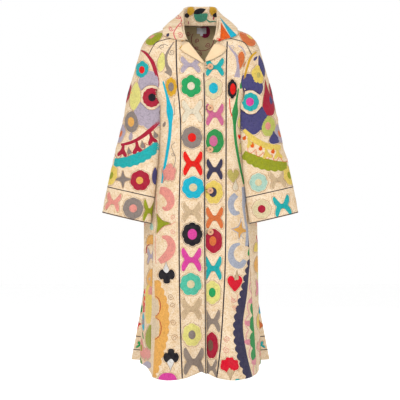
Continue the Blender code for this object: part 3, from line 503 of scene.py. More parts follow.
def back():
    """The back panel, which runs over the shoulders to the seam in front of them."""
    strip = np.linspace(BACK_SEAM, SHOULDER_STRIP, STRIP_COLUMNS)
    middle = np.linspace(SHOULDER_STRIP, 2 - SHOULDER_STRIP, NECK_COLUMNS + 1)
    shares = np.concatenate([strip, middle[1:-1], 2 - strip[::-1]])
    heights = np.linspace(HEM_Z, UNDERARM_Z, SKIRT_ROWS)
    skirt = wall(around, shares + 0 * heights[:, None], heights[:, None] + 0 * shares)

    ups = 1 - (1 - np.linspace(0, 1, BACK_ROWS)) ** BACK_ROW_CROWDING
    low = around(shares, UNDERARM_Z)
    bottom = places(low[:, 0], low[:, 2], 1)
    left = places(smooth(ARMHOLE_BACK, "up", "x", ups), smooth(ARMHOLE_BACK, "up", "z", ups), 1)
    left += (bottom[0] - left[0]) * (1 - ups[:, None]) ** 2
    overs = np.linspace(0, 1, OVER_ROWS + 1)
    crossing = np.stack([
        smooth(ARMHOLE_OVER, "up", "x", overs),
        np.radians(smooth(ARMHOLE_OVER, "up", "turn", overs)),
    ], -1)
    seam_end = places(np.array(SHOULDER_SEAM[-1].x), np.array(SHOULDER_SEAM[-1].z), -1)
    crossing += (left[-1] - crossing[0]) * (1 - overs[:, None]) ** 2
    crossing += (seam_end - crossing[-1]) * overs[:, None] ** 2

    nape = neck_line(NAPE_ALONG)
    q = np.linspace(0, 1, STRIP_COLUMNS)[:, None]
    shelf = left[-1] * (1 - q) + nape * q
    turned = np.linspace(-NAPE_ALONG, NAPE_ALONG, NECK_COLUMNS + 1)[1:-1]
    nape_line = neck_line(np.abs(turned))
    nape_line[:, 0] *= -np.sign(turned)
    flip = np.array([-1.0, 1.0])
    top = np.concatenate([shelf, nape_line, shelf[::-1] * flip])
    grid = coons(bottom, top, left, left * flip, ups)
    upper = wall(over, grid[..., 0], grid[..., 1])

    ups = np.linspace(0, 1, STRIP_COLUMNS)[::-1]
    seam = places(smooth(SHOULDER_SEAM, "up", "x", ups), smooth(SHOULDER_SEAM, "up", "z", ups), -1)
    neck = neck_line(np.linspace(NAPE_ALONG, SEAM_ALONG, OVER_ROWS + 1))
    neck += (seam[-1] - neck[-1]) * overs[:, None] ** 2
    strap = coons(shelf, seam, crossing, neck)
    left_strap = wall(over, strap[..., 0], strap[..., 1])
    right_strap = left_strap[:, :, ::-1] * np.array([-1.0, 1.0, 1.0])
    empty = np.zeros((2, OVER_ROWS + 1, NECK_COLUMNS - 1, 3))
    straps = np.concatenate([left_strap, empty, right_strap], axis=2)
    return stack(skirt, upper, straps)


def back_present(i, j):
    return i < SKIRT_ROWS + BACK_ROWS - 2 or not STRIP_COLUMNS - 1 <= j < STRIP_COLUMNS - 1 + NECK_COLUMNS


def clear_body(points, need):
    """Moves points out of the body's rings until they are this far from it."""
    moved = points.copy()
    for place in np.ndindex(points.shape[:-1]):
        p = points[place]
        wanted = np.broadcast_to(need, points.shape[:-1])[place]
        if p[2] > RING_TOP_Z or wanted <= 0:
            continue
        ring = RINGS[int(round(float(np.clip(ring_row(p[2]), 0, len(RINGS) - 1))))][:, :2]
        nearest = int(np.argmin(np.sum((ring - p[:2]) ** 2, -1)))
        tangent = ring[(nearest + 1) % len(ring)] - ring[nearest - 1]
        out = np.array([tangent[1], -tangent[0]]) / np.linalg.norm(tangent)
        away = float((p[:2] - ring[nearest]) @ out)
        if away < wanted:
            moved[place][:2] += out * (wanted - away)
    return moved


def sleeve(side, armhole):
    """A sleeve from the armhole's points (front, under the arm, back, shoulder) down to the cuff."""
    outer, inner = armhole
    tangent = unit(np.roll(outer, -1, 0) - np.roll(outer, 1, 0))
    leave = -side * unit(np.cross(tangent, unit(outer - inner)))
    steps = np.linalg.norm(np.roll(outer, -1, 0) - outer, axis=-1)
    length = np.concatenate([[0], np.cumsum(steps)[:-1]])
    under = length[SIDE_COLUMNS // 2]
    angle = -2 * math.pi * (length - under) / steps.sum()

    def ring(z):
        row = {name: smooth(SLEEVE[::-1], "z", name, z) for name in ("x", "y", "wide", "deep", "turn", "tilt")}
        turn = math.radians(row["turn"])
        a = row["wide"] * np.cos(angle - turn)
        b = row["deep"] * np.sin(angle - turn)
        inward = a * math.cos(turn) - b * math.sin(turn)
        forward = a * math.sin(turn) + b * math.cos(turn)
        x = -row["x"] * side - side * inward
        lift = -inward * math.tan(math.radians(row["tilt"]))
        return np.stack([x, row["y"] - forward, z + lift], -1)

    heights = np.linspace(SLEEVE[0].z, SLEEVE[-1].z, SLEEVE_ROWS + 1)
    rings = np.array([ring(z) for z in heights])
    start = outer + leave * SEAM_GAP / 2
    reach = np.linalg.norm(rings[0] - start, axis=-1)[:, None]
    down = unit(rings[1] - rings[0])
    cap = []
    for t in np.linspace(0, 1, CAP_ROWS + 2)[1:-1]:
        cap.append(
            start * (1 + 2 * t) * (1 - t) ** 2
            + rings[0] * t * t * (3 - 2 * t)
            + leave * reach * SLEEVE_START_PULL * t * (1 - t) ** 2
            - down * reach * SLEEVE_END_PULL * t * t * (1 - t)
        )
    need = SLEEVE_CLEARANCE * np.linspace(0, 1, CAP_ROWS + 2)[1:-1]
    cap = clear_body(np.array(cap), need[:, None] + np.zeros(len(outer)))
    rings = clear_body(rings, SLEEVE_CLEARANCE)
    grid = np.concatenate([start[None], cap, rings])
    down = np.gradient(grid, axis=0)
    across = np.roll(grid, -1, 1) - np.roll(grid, 1, 1)
    out = -side * unit(np.cross(down, across))
    walls = np.stack([grid, grid - out * WALL])
    walls[1, 0] = inner + leave * SEAM_GAP / 2
    return walls


def lapel(side):
    """The turned-back top of a front, which rolls over the front's edge and lies on it."""
    table = LAPEL_RIGHT if side < 0 else LAPEL_LEFT
    along = np.linspace(0, 1, 9)
    roll_x = straight(table, "along", "roll_x", along)
    roll_z = straight(table, "along", "roll_z", along)
    edge_x = straight(table, "along", "edge_x", along)
    edge_z = straight(table, "along", "edge_z", along)
    roll = places(roll_x, roll_z, -1)
    edge = places(edge_x, edge_z, -1)

    def face(place, lift):
        point = over(place[:, 0], place[:, 1])
        out = normals(over, place[:, 0], place[:, 1])
        sunk = 0.0 if side < 0 else tuck(point[:, 0], point[:, 2])[:, None]
        return point + out * (lift - sunk), out

    base, out = face(roll, 0.0)
    away = base - face(edge, 0.0)[0]
    away = unit(away - out * np.sum(away * out, -1, keepdims=True))
    centre = base + out * LAPEL_TURN_RADIUS + away * SEAM_GAP
    shown, hidden = [], []
    for angle in np.radians(np.linspace(-90, 90, 6)):
        spoke = away * math.cos(angle) + out * math.sin(angle)
        shown.append(centre + spoke * (LAPEL_TURN_RADIUS + WALL))
        hidden.append(centre + spoke * LAPEL_TURN_RADIUS)
    for q in np.linspace(0, 1, 6)[1:]:
        place = roll * (1 - q) + edge * q
        lift = 2 * LAPEL_TURN_RADIUS + LAPEL_BOW * math.sin(math.pi * min(q, 0.95))
        under, out = face(place, lift)
        shown.append(under + out * WALL)
        hidden.append(under)
    return np.stack([np.stack(shown, 1), np.stack(hidden, 1)])


def collar(back_walls):
    """The collar: a stand on the neck seam, a roll, and a fall that lies over the shoulders."""
    top = SKIRT_ROWS + BACK_ROWS - 2
    first = STRIP_COLUMNS - 1
    last = first + NECK_COLUMNS
    left_side = back_walls[:, top:, first][:, ::-1]
    nape = back_walls[:, top, first:last + 1]
    right_side = back_walls[:, top:, last]
    seam = np.concatenate([left_side[:, :-1], nape, right_side[:, 1:]], axis=1)
    side_alongs = np.linspace(NAPE_ALONG, SEAM_ALONG, OVER_ROWS + 1)
    alongs = np.concatenate([side_alongs[::-1][:-1], np.linspace(NAPE_ALONG, -NAPE_ALONG, NECK_COLUMNS + 1)])
    alongs = np.concatenate([alongs, -side_alongs[1:]])
    ends = []
    for sign in (1, -1):
        free = np.linspace(SEAM_ALONG, 1, 4)[1:]
        place = neck_line(free)
        point = over(sign * place[:, 0], place[:, 1])
        out = normals(over, sign * place[:, 0], place[:, 1])
        ends.append((sign * free, np.stack([point, point - out * WALL])))
    alongs = np.concatenate([ends[0][0][::-1], alongs, ends[1][0]])
    seam = np.concatenate([ends[0][1][:, ::-1], seam, ends[1][1]], axis=1)

    size, sign = np.abs(alongs), np.sign(alongs + 1e-9)
    columns = {name: smooth(COLLAR, "along", name, size) for name in COLLAR[0]._fields[1:]}
    fold = np.stack([sign * columns["fold_x"], columns["fold_y"], columns["fold_z"]], -1)
    edge_x, edge_turn = sign * columns["edge_x"], np.radians(columns["edge_turn"])
    edge_out = normals(over, edge_x, edge_turn)
    edge = over(edge_x, edge_turn) + edge_out * COLLAR_LIFT

    outer, inner = seam
    middle = (outer + inner) / 2
    tangent = unit(np.gradient(middle, axis=0))
    rise = unit(np.cross(unit(outer - inner), tangent))
    rise *= np.sign(np.sum(rise * (fold - middle), -1, keepdims=True))
    away = unit((edge - middle) * np.array([1.0, 1.0, 0.0]))
    down = np.array([0, 0, COLLAR_ROLL])
    before = fold - away * COLLAR_ROLL - down
    after = fold + away * COLLAR_ROLL - down
    start = middle + rise * SEAM_GAP
    stand = middle * 0.5 + before * 0.5 + away * COLLAR_STAND_BOW
    fall = after * 0.45 + edge * 0.55 + edge_out * COLLAR_LIFT
    knots = (start, stand, before, fold, after, fall, edge)
    line = through(knots, COLLAR_KNOTS, np.linspace(0, 1, COLLAR_STEPS))
    fallen = COLLAR_STEPS * 6 // 10
    line[fallen:] = clear_shoulders(line[fallen:], COLLAR_LIFT)
    walls = about_line(line, outer - inner)
    walls[:, 0] = seam + rise * SEAM_GAP
    return walls


def clear_shoulders(points, need):
    """Moves points out of the body above the underarm until they are this far from it."""
    turns = np.radians(np.linspace(-130, 130, 131))
    x = points[..., :1] + 0 * turns
    surface = over(x, turns + 0 * x)
    nearest = np.argmin(np.sum((surface - points[..., None, :]) ** 2, -1), axis=-1)
    turn = turns[nearest]
    out = normals(over, points[..., 0], turn)
    away = np.sum((points - over(points[..., 0], turn)) * out, -1)
    return points + out * np.maximum(need - away, 0)[..., None]


def through(knots, steps, samples):
    """A smooth line through knots, each an array of points, at the given steps along it."""
    Knot = namedtuple("Knot", "at value")
    line = np.zeros((len(samples),) + knots[0].shape)
    for place in np.ndindex(knots[0].shape):
        rows = [Knot(step, knot[place]) for step, knot in zip(steps, knots)]
        line[(slice(None), *place)] = smooth(rows, "at", "value", samples)
    return line


def about_line(line, outward):
    """A wall either side of a grid of points, its first face on the side that outward points to."""
    out = unit(np.cross(np.gradient(line, axis=0), np.gradient(line, axis=1)))
    out *= np.sign(np.sum(out[1] * outward))
    return np.stack([line + out * WALL / 2, line - out * WALL / 2])


def front_place(x, z):
    """The body's surface on the front, by distance from the middle and height, and the direction out of it."""
    x, z = np.broadcast_arrays(np.asarray(x, float), np.asarray(z, float))
    turn, share = -turn_at(x, z), x / half_girth(z)
    low = (z < UNDERARM_Z)[..., None]
    point = np.where(low, around(share, z), over(x, turn))
    return point, np.where(low, normals(around, share, z), normals(over, x, turn))


def label():
    """The blank label with its hanging tab, on the inside of the back just below the neck seam."""
    wide, tab = LABEL_WIDTH / 2, TAB_WIDTH / 2
    thirds = np.linspace(-wide, -tab, 4), np.linspace(-tab, tab, 3)[1:], np.linspace(tab, wide, 4)[1:]
    x = LABEL_X + np.concatenate(thirds)
    bottom = LABEL_TOP_Z - LABEL_HEIGHT
    z = np.concatenate([np.linspace(bottom - TAB_HEIGHT, bottom, 3), np.linspace(bottom, LABEL_TOP_Z, 4)[1:]])
    x, z = np.meshgrid(x, z)
    turn = turn_at(x, z)
    point, out = over(x, turn), normals(over, x, turn)
    return np.stack([point - out * (WALL + LABEL_GAP), point - out * (WALL + LABEL_GAP + LABEL_WALL)])


def armhole_of(side, front_walls, gore_walls, back_walls):
    """The points round an armhole: under the arm from front to back, over the shoulder, down the front."""
    under = gore_walls[:, -1]
    column = 0 if side > 0 else -1
    behind = back_walls[:, SKIRT_ROWS - 1:, column]
    before = front_walls[:, SKIRT_ROWS - 1:, -1][:, ::-1]
    return np.concatenate([under, behind[:, 1:], before[:, 1:-1]], axis=1)


class Cloth:
    """The fine outer and inner points of one piece of cloth, and the ways to find a place on it."""

    def __init__(self, node, walls, closed=False, present=None):
        self.node = node
        self.walls = walls
        self.closed = closed
        self.present = present or (lambda i, j: True)
        self.charts = {}

    @property
    def outer(self):
        return self.walls[0]

    def outward(self):
        return unit(self.walls[0] - self.walls[1])

    def reversed(self):
        """The same cloth with its inside taken as the face."""
        return Cloth(self.node, self.walls[::-1], self.closed, self.present)

    def seen(self):
        """Where each point shows in the photograph's view, on the upright plane through the middle."""
        size = CAMERA_DISTANCE / (CAMERA_DISTANCE + self.outer[..., 1])
        x = (self.outer[..., 0] - CAMERA_X) * size + CAMERA_X
        z = (self.outer[..., 2] - CAMERA_Z) * size + CAMERA_Z
        eye = np.array([CAMERA_X, -CAMERA_DISTANCE, CAMERA_Z])
        facing = np.sum(unit(eye - self.outer) * self.outward(), -1) > 0.03
        return np.stack([x, z], -1), facing & self.clear_of_itself(Vector(eye))

    def clear_of_itself(self, eye):
        """True for each point that no other part of this cloth hides from the eye."""
        numbers = np.arange(self.outer[..., 0].size).reshape(self.outer.shape[:2])
        numbers = np.concatenate([numbers, numbers[:, :1]], 1) if self.closed else numbers
        corners = np.stack([numbers[:-1, :-1], numbers[:-1, 1:], numbers[1:, 1:], numbers[1:, :-1]], -1)
        kept = [corners[i, j].tolist() for i, j in np.ndindex(corners.shape[:2]) if self.present(i, j)]
        points = [Vector(point) for point in self.outer.reshape(-1, 3)]
        tree = BVHTree.FromPolygons(points, kept)
        first = [tree.ray_cast(eye, point - eye)[0] for point in points]
        near = [hit is None or (hit - point).length < SAME_PLACE for hit, point in zip(first, points)]
        return np.array(near).reshape(self.outer.shape[:2])

    def flat(self):
        """Where each point lies on the cloth laid out: the way round from the middle column, and the height."""
        steps = np.linalg.norm(np.diff(self.outer, axis=1), axis=-1)
        across = np.concatenate([np.zeros((len(steps), 1)), np.cumsum(steps, 1)], 1)
        middle = self.outer.shape[1] // 2
        hand = np.sign(self.outer[0, -1, 0] - self.outer[0, 0, 0] + 1e-9)
        across = (across - across[:, middle:middle + 1]) * hand
        return np.stack([across, self.outer[..., 2]], -1), np.isfinite(self.outward()[..., 0])

    def chart(self, name):
        if name not in self.charts:
            fields, allowed = getattr(self, name)()
            self.charts[name] = Chart(self, fields, allowed)
        return self.charts[name]

    def sample(self, field, u, v):
        """The value of a field of the grid at columns u and rows v."""
        rows, columns = field.shape[:2]
        v = np.clip(v, 0, rows - 1.000001)
        low = np.floor(v).astype(int)
        if self.closed:
            u = np.mod(u, columns)
            left = np.floor(u).astype(int) % columns
            right = (left + 1) % columns
        else:
            u = np.clip(u, 0, columns - 1.000001)
            left = np.floor(u).astype(int)
            right = left + 1
        a = (u - np.floor(u))[..., None]
        b = (v - low)[..., None]
        below = field[low, left] * (1 - a) + field[low, right] * a
        above = field[low + 1, left] * (1 - a) + field[low + 1, right] * a
        return below * (1 - b) + above * b

    def place(self, u, v, lift):
        """Points that stand off the cloth by a lift, and the way out there."""
        out = unit(self.sample(self.outward(), u, v))
        return self.sample(self.outer, u, v) + out * np.asarray(lift)[..., None], out

    def crease(self, chart, rows):
        """Pushes the cloth in or out along soft lines, each a Crease in millimetres of the chart."""
        fields, allowed = getattr(self, chart)()
        strength = bpy.context.scene.coat_sizes.crease_depth
        depth = np.zeros(fields.shape[:2])
        for row in rows:
            start = np.array([row.x, -row.down]) * MM
            end = np.array([row.to_x, -row.to_down]) * MM
            along = np.clip(np.sum((fields - start) * (end - start), -1) / np.sum((end - start) ** 2), 0, 1)
            bend = row.bow * MM * np.sin(math.pi * along)
            across = np.array([end[1] - start[1], start[0] - end[0]]) / np.linalg.norm(end - start)
            nearest = start + along[..., None] * (end - start) + bend[..., None] * across
            away = np.linalg.norm(fields - nearest, axis=-1)
            fade = 0.35 + 0.65 * np.sin(math.pi * np.clip(along, 0.02, 0.98))
            depth += strength * row.depth * MM * fade * np.exp(-((away / (row.width * MM)) ** 2))
        depth = np.where(allowed, depth, 0.0)
        self.walls = self.walls + self.outward() * depth[..., None]
        self.charts = {}


Crease = namedtuple("Crease", "x down to_x to_down bow depth width")


class Chart:
    """Finds columns and rows of a panel from places in a flat picture of it."""

    def __init__(self, panel, fields, allowed):
        self.panel = panel
        self.fields = fields
        self.by_u = np.gradient(fields, axis=1)
        self.by_v = np.gradient(fields, axis=0)
        self.tree = KDTree(int(allowed.sum()))
        columns = fields.shape[1]
        for row, column in np.argwhere(allowed):
            self.tree.insert((*fields[row, column], 0.0), int(row * columns + column))
        self.tree.balance()

    def find(self, x, z):
        x, z = np.broadcast_arrays(np.asarray(x, float), np.asarray(z, float))
        nearest = [self.tree.find((a, b, 0.0))[1] for a, b in zip(x.ravel().tolist(), z.ravel().tolist())]
        v, u = np.divmod(np.array(nearest).reshape(x.shape), self.fields.shape[1])
        u, v = u.astype(float), v.astype(float)
        start_u, start_v = u, v
        for _ in range(4):
            here = self.panel.sample(self.fields, u, v)
            by_u = self.panel.sample(self.by_u, u, v)
            by_v = self.panel.sample(self.by_v, u, v)
            miss_x, miss_z = x - here[..., 0], z - here[..., 1]
            size = by_u[..., 0] * by_v[..., 1] - by_u[..., 1] * by_v[..., 0]
            size = np.where(np.abs(size) < 1e-12, 1e-12, size)
            step_u = (miss_x * by_v[..., 1] - miss_z * by_v[..., 0]) / size
            step_v = (by_u[..., 0] * miss_z - by_u[..., 1] * miss_x) / size
            u = u + np.clip(step_u, -1.5, 1.5)
            v = v + np.clip(step_v, -1.5, 1.5)
        lost = np.hypot(u - start_u, v - start_v) > SEARCH_REACH
        return np.where(lost, start_u, u), np.where(lost, start_v, v)


def make_panels():
    """Every piece of cloth as a fine grid, by the node that it stands for."""
    panels = {}
    back_walls = back()
    for side, name in ((-1, "right"), (1, "left")):
        front_walls = front(side)
        gore_walls = gore(side)
        armhole = armhole_of(side, front_walls, gore_walls, back_walls).copy()
        panels[f"front_{name}"] = Cloth(f"front_{name}", front_walls)
        panels[f"side_{name}"] = Cloth(f"side_{name}", gore_walls)
        panels[f"sleeve_{name}"] = Cloth(f"sleeve_{name}", sleeve(side, armhole), closed=True)
        panels[f"lapel_{name}"] = Cloth(f"lapel_{name}", lapel(side))
    panels["collar"] = Cloth("collar", collar(back_walls)[::-1])
    panels["back"] = Cloth("back", back_walls, present=back_present)
    return panels


def shell(panel, materials, thickness):
    """One piece of cloth: its outer face as a grid, with its thickness inwards, and cloth coordinates."""
    rows, columns = panel.outer.shape[:2]
    mesh = bmesh.new()
    layer = mesh.verts.layers.float_vector.new("cloth")
    spans = columns if panel.closed else columns - 1
    made = bmesh.ops.create_grid(mesh, x_segments=spans, y_segments=rows - 1, size=1)["verts"]
    lying, _ = panel.flat()
    lying = np.concatenate([lying, lying[:, :1]], 1) if panel.closed else lying
    points = np.concatenate([panel.outer, panel.outer[:, :1]], 1) if panel.closed else panel.outer
    for vertex, co, (a, b) in zip(made, points.reshape(-1, 3).tolist(), lying.reshape(-1, 2).tolist()):
        vertex.co = co
        vertex[layer] = (a, b, 0.0)
    mesh.verts.index_update()
    gone = []
    for face in mesh.faces:
        number = min(vertex.index for vertex in face.verts)
        if not panel.present(*divmod(number, spans + 1)):
            gone.append(face)
    bmesh.ops.delete(mesh, geom=gone, context="FACES")
    if panel.closed:
        bmesh.ops.remove_doubles(mesh, verts=mesh.verts, dist=1e-6)
    if turned_in(panel.outer, panel.outward()):
        bmesh.ops.reverse_faces(mesh, faces=mesh.faces)
    made = link("cloth_" + panel.node, mesh, materials)
    thick = made.modifiers.new("thickness", "SOLIDIFY")
    thick.thickness = thickness
    thick.offset = -1
    thick.use_even_offset = False
    thick.material_offset = len(materials) - 1
    thick.material_offset_rim = 0
    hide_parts(panel.node)
    return made


def turned_in(points, out):
    """True where a grid's faces look against the way out of it."""
    faces = np.cross(points[:-1, 1:] - points[:-1, :-1], points[1:, :-1] - points[:-1, :-1])
    return np.sum(faces * out[:-1, :-1]) < 0


def link(name, mesh, materials):
    """A new smooth-shaded object from a bmesh, riding on the coat's body."""
    for face in mesh.faces:
        face.smooth = True
    data = bpy.data.meshes.new(name)
    mesh.to_mesh(data)
    mesh.free()
    for item in materials:
        data.materials.append(item)
    made = bpy.data.objects.new(name, data)
    bpy.context.scene.collection.objects.link(made)
    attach(made, "root")
    return made


# Silk colours, as eight-bit red, green and blue
THREADS = {
    "ink": (52, 44, 58),
    "black": (30, 26, 34),
    "tan": (190, 150, 112),
    "sand": (222, 192, 152),
    "cream": (246, 232, 204),
    "ground": (242, 216, 180),
    "carmine": (236, 84, 104),
    "white": (244, 240, 234),
    "straw": (240, 222, 176),
    "taupe": (160, 143, 130),
    "grey": (152, 138, 130),
    "steel": (184, 188, 202),
    "lavender": (192, 178, 192),
    "violet": (78, 74, 128),
    "navy": (64, 60, 88),
    "red": (248, 22, 12),
    "scarlet": (238, 14, 48),
    "crimson": (186, 26, 58),
    "wine": (170, 30, 80),
    "hot_pink": (236, 72, 168),
    "pink": (222, 112, 156),
    "rose": (242, 156, 168),
    "coral": (248, 160, 146),
    "orange": (234, 122, 62),
    "tangerine": (246, 100, 20),
    "marigold": (250, 184, 92),
    "gold": (232, 176, 44),
    "yellow": (248, 216, 104),
    "lemon": (246, 236, 138),
    "lime": (204, 208, 104),
    "khaki": (206, 190, 104),
    "olive": (164, 170, 34),
    "green": (36, 172, 98),
    "leaf": (52, 156, 82),
    "jade": (70, 150, 120),
    "mint": (90, 206, 174),
    "pale_mint": (188, 224, 204),
    "teal": (30, 184, 184),
    "cyan": (14, 192, 218),
    "brown": (126, 88, 70),
}

Rosette = namedtuple("Rosette", "x down wide tall petals depth colour middle middle_wide shift border")
Bow = namedtuple("Bow", "x down wide tall colour border")
Mark = namedtuple("Mark", "outline x down wide tall turn colour border")
Curl = namedtuple("Curl", "colour x down radius turns start hand")


def both_sides(half):
    """A closed outline from its right half, listed from the top down."""
    return tuple(half) + tuple((-x, y) for x, y in reversed(half) if abs(x) > 1e-6)


# Outlines of the motifs, as shares of their half width and half height, downwards positive
# Part of a ring round a rosette: from its middle, radii, the angles where it starts and ends, and its lobes
Field = namedtuple("Field", "colour x down inner outer start end lobes")
# A stem from one place to another, bowed and swayed, with a half width and a belly at a share of its way
Vine = namedtuple("Vine", "colour x down to_x to_down bow sway half belly at")
# Part of an oval line
Arc = namedtuple("Arc", "x down wide tall start end half")

BOW = both_sides((
    (0.0, -0.20), (0.28, -0.26), (0.50, -0.46), (0.62, -0.82), (0.78, -1.0), (0.96, -0.92), (1.0, -0.60),
    (0.90, -0.28), (0.70, 0.0), (0.88, 0.30), (1.0, 0.64), (0.95, 0.93), (0.76, 1.0), (0.58, 0.80),
    (0.46, 0.50), (0.26, 0.32), (0.0, 0.26),
))
LEAF = both_sides(((0.0, -1.0), (0.70, -0.5), (1.0, 0.1), (0.75, 0.7), (0.0, 1.0)))
DROP = both_sides(((0.0, -1.0), (0.22, -0.5), (0.75, 0.05), (1.0, 0.5), (0.65, 0.92), (0.0, 1.0)))
TREFOIL = both_sides((
    (0.0, -1.0), (0.36, -0.88), (0.44, -0.46), (0.76, -0.46),
    (1.0, -0.05), (0.90, 0.45), (0.52, 0.74), (0.0, 0.30),
))
HEART = both_sides((
    (0.0, -0.50), (0.28, -0.92), (0.70, -0.95), (1.0, -0.45), (0.78, 0.15), (0.40, 0.62), (0.0, 1.0),
))
FAN = both_sides((
    (0.0, -0.95), (0.30, -1.0), (0.50, -0.68), (0.86, -0.62),
    (0.92, -0.2), (1.0, 0.15), (0.86, 0.5), (0.55, 0.62),
    (0.25, 0.85), (0.0, 0.35),
))
STAR = both_sides(((0.0, -1.0), (0.26, -0.30), (1.0, 0.0), (0.26, 0.30), (0.0, 1.0)))
FANG = ((-1.0, -1.0), (-0.2, -0.34), (1.0, 0.0), (-0.2, 0.34), (-1.0, 1.0), (-0.9, 0.0))
LILY = both_sides((
    (0.0, -1.0), (0.26, -0.9), (0.34, -0.3), (0.66, 0.15),
    (1.0, 0.55), (0.86, 0.96), (0.44, 0.86), (0.0, 0.56),
))
WEDGE = both_sides(((0.0, -1.0), (0.25, -0.5), (0.5, 0.0), (0.75, 0.5), (1.0, 1.0), (0.0, 0.97)))
HALF_ROUND = both_sides(((0.0, -1.0), (0.62, -0.78), (0.96, -0.1), (1.0, 1.0), (0.0, 1.0)))

# The two strips beside the opening, on the wearer's right front
RIGHT_STRIP_BOWS = (
    Bow(-33, 121, 70, 57, "lavender", "tan"),
    Bow(-28, 279, 69, 75, "cream", "tan"),
    Bow(-25, 457, 68, 84, "red", "tan"),
    Bow(-29, 622, 64, 66, "sand", "tan"),
    Bow(-30, 784, 70, 82, "hot_pink", "tan"),
    Bow(-30, 951, 66, 72, "sand", "tan"),
    Bow(-22, 1130, 72, 95, "taupe", "sand"),
)
RIGHT_STRIP_ROSETTES = (
    Rosette(-31, 194, 74, 79, 6, 0.14, "green", "cream", 27, 0, "tan"),
    Rosette(-28, 369, 74, 79, 8, 0.05, "grey", "red", 30, 0, "tan"),
    Rosette(-24, 539, 80, 80, 7, 0.09, "cyan", "straw", 29, 0, "tan"),
    Rosette(-27, 698, 73, 84, 8, 0.08, "black", "hot_pink", 34, 0, "ink"),
    Rosette(-32, 868, 77, 80, 7, 0.09, "mint", "straw", 28, 0, "tan"),
    Rosette(-28, 1040, 67, 81, 7, 0.08, "lemon", "grey", 27, 0, "tan"),
)
LEFT_STRIP_BOWS = (
    Bow(50, 129, 64, 62, "teal", "tan"),
    Bow(50, 291, 62, 76, "pink", "tan"),
    Bow(49, 477, 57, 72, "navy", "tan"),
    Bow(49, 642, 60, 74, "orange", "tan"),
    Bow(44, 813, 60, 82, "teal", "tan"),
    Bow(42, 993, 54, 78, "taupe", "sand"),
    Bow(38, 1153, 40, 62, "taupe", "sand"),
)
LEFT_STRIP_ROSETTES = (
    Rosette(45, 201, 62, 74, 6, 0.12, "straw", "cyan", 33, 0, "tan"),
    Rosette(50, 381, 64, 85, 7, 0.05, "leaf", "pink", 30, -5, "tan"),
    Rosette(46, 555, 66, 84, 7, 0.09, "yellow", "navy", 28, -3, "tan"),
    Rosette(46, 721, 62, 86, 6, 0.05, "crimson", "orange", 25, -3, "tan"),
    Rosette(41, 896, 60, 83, 6, 0.08, "lemon", "green", 25, 0, "tan"),
    Rosette(39, 1076, 46, 94, 7, 0.05, "crimson", "brown", 20, -4, "tan"),
)

# The wearer's right front, beside the strip
RIGHT_SIDE_MARKS = (
    Mark(LEAF, -132, 112, 27, 67, 8, "lemon", "tan"),
    Mark(DROP, -118, 496, 34, 60, 200, "coral", "tan"),
    Mark(FANG, -124, 662, 50, 70, 0, "olive", "tan"),
    Mark(TREFOIL, -114, 838, 58, 58, 180, "black", "tan"),
    Mark(DROP, -116, 810, 20, 42, 0, "white", "tan"),
    Mark(TREFOIL, -99, 1114, 55, 56, 0, "black", "tan"),
    Mark(DROP, -101, 1142, 24, 46, 180, "white", "tan"),
    Mark(HALF_ROUND, -111, 1192, 68, 48, 0, "hot_pink", "tan"),
    Mark(HALF_ROUND, -150, 944, 64, 26, 90, "ground", None),
    Mark(HALF_ROUND, -149, 1017, 70, 30, 90, "ground", None),
    Mark(LEAF, -122, 324, 10, 20, 20, "taupe", None),
)
RIGHT_SIDE_ROSETTES = (
    Rosette(-99, 197, 42, 68, 8, 0.10, "gold", "grey", 20, 0, "tan"),
    Rosette(-103, 488, 44, 64, 5, 0.20, "coral", None, 0, 0, "tan"),
)
RIGHT_SIDE_STROKES = (
    ("taupe", (
        (-88, 42, 1.5), (-104, 66, 3), (-116, 92, 5),
        (-114, 122, 6), (-106, 146, 12), (-112, 156, 17),
    )),
    ("taupe", ((-108, 58, 1), (-122, 52, 1.2), (-136, 58, 1.2), (-150, 70, 1))),
    ("taupe", ((-85, 233, 1), (-90, 253, 1), (-87, 275, 1.2), (-90, 293, 1.2), (-96, 290, 1))),
    ("taupe", (
        (-84, 384, 1), (-98, 398, 1.3), (-92, 415, 1.3),
        (-84, 440, 1.3), (-90, 468, 1.2), (-95, 480, 1),
    )),
    ("coral", (
        (-140, 548, 12), (-122, 552, 17), (-104, 572, 17),
        (-102, 598, 13), (-118, 612, 8), (-130, 604, 3),
    )),
    ("coral", (
        (-132, 706, 4), (-110, 712, 11), (-98, 733, 15),
        (-104, 761, 17), (-122, 780, 15), (-141, 793, 9),
    )),
    ("coral", ((-146, 628, 1.2), (-138, 646, 1.2), (-118, 660, 1.2), (-96, 662, 1.2), (-82, 655, 1.2))),
    ("coral", ((-150, 700, 1.2), (-136, 684, 1.2), (-116, 668, 1.2), (-94, 666, 1.2))),
    ("coral", ((-150, 560, 1.2), (-149, 600, 1.2), (-147, 628, 1.2))),
    ("coral", ((-152, 702, 1.2), (-153, 760, 1.2), (-150, 800, 1.2))),
    ("crimson", ((-156, 905, 1.6), (-143, 915, 1.8), (-135, 942, 2), (-142, 968, 1.8), (-154, 979, 1.6))),
    ("crimson", ((-154, 979, 1.6), (-140, 990, 1.8), (-132, 1017, 2), (-140, 1045, 1.8), (-156, 1058, 1.6))),
)
RIGHT_SIDE_BAND = ((-147, 852, 10), (-131, 940, 26), (-130, 1030, 27), (-142, 1115, 18), (-155, 1186, 7))
RIGHT_VINE = Vine("cyan", -127, 176, -131, 526, 26, 4, 6, 13, 0.3)
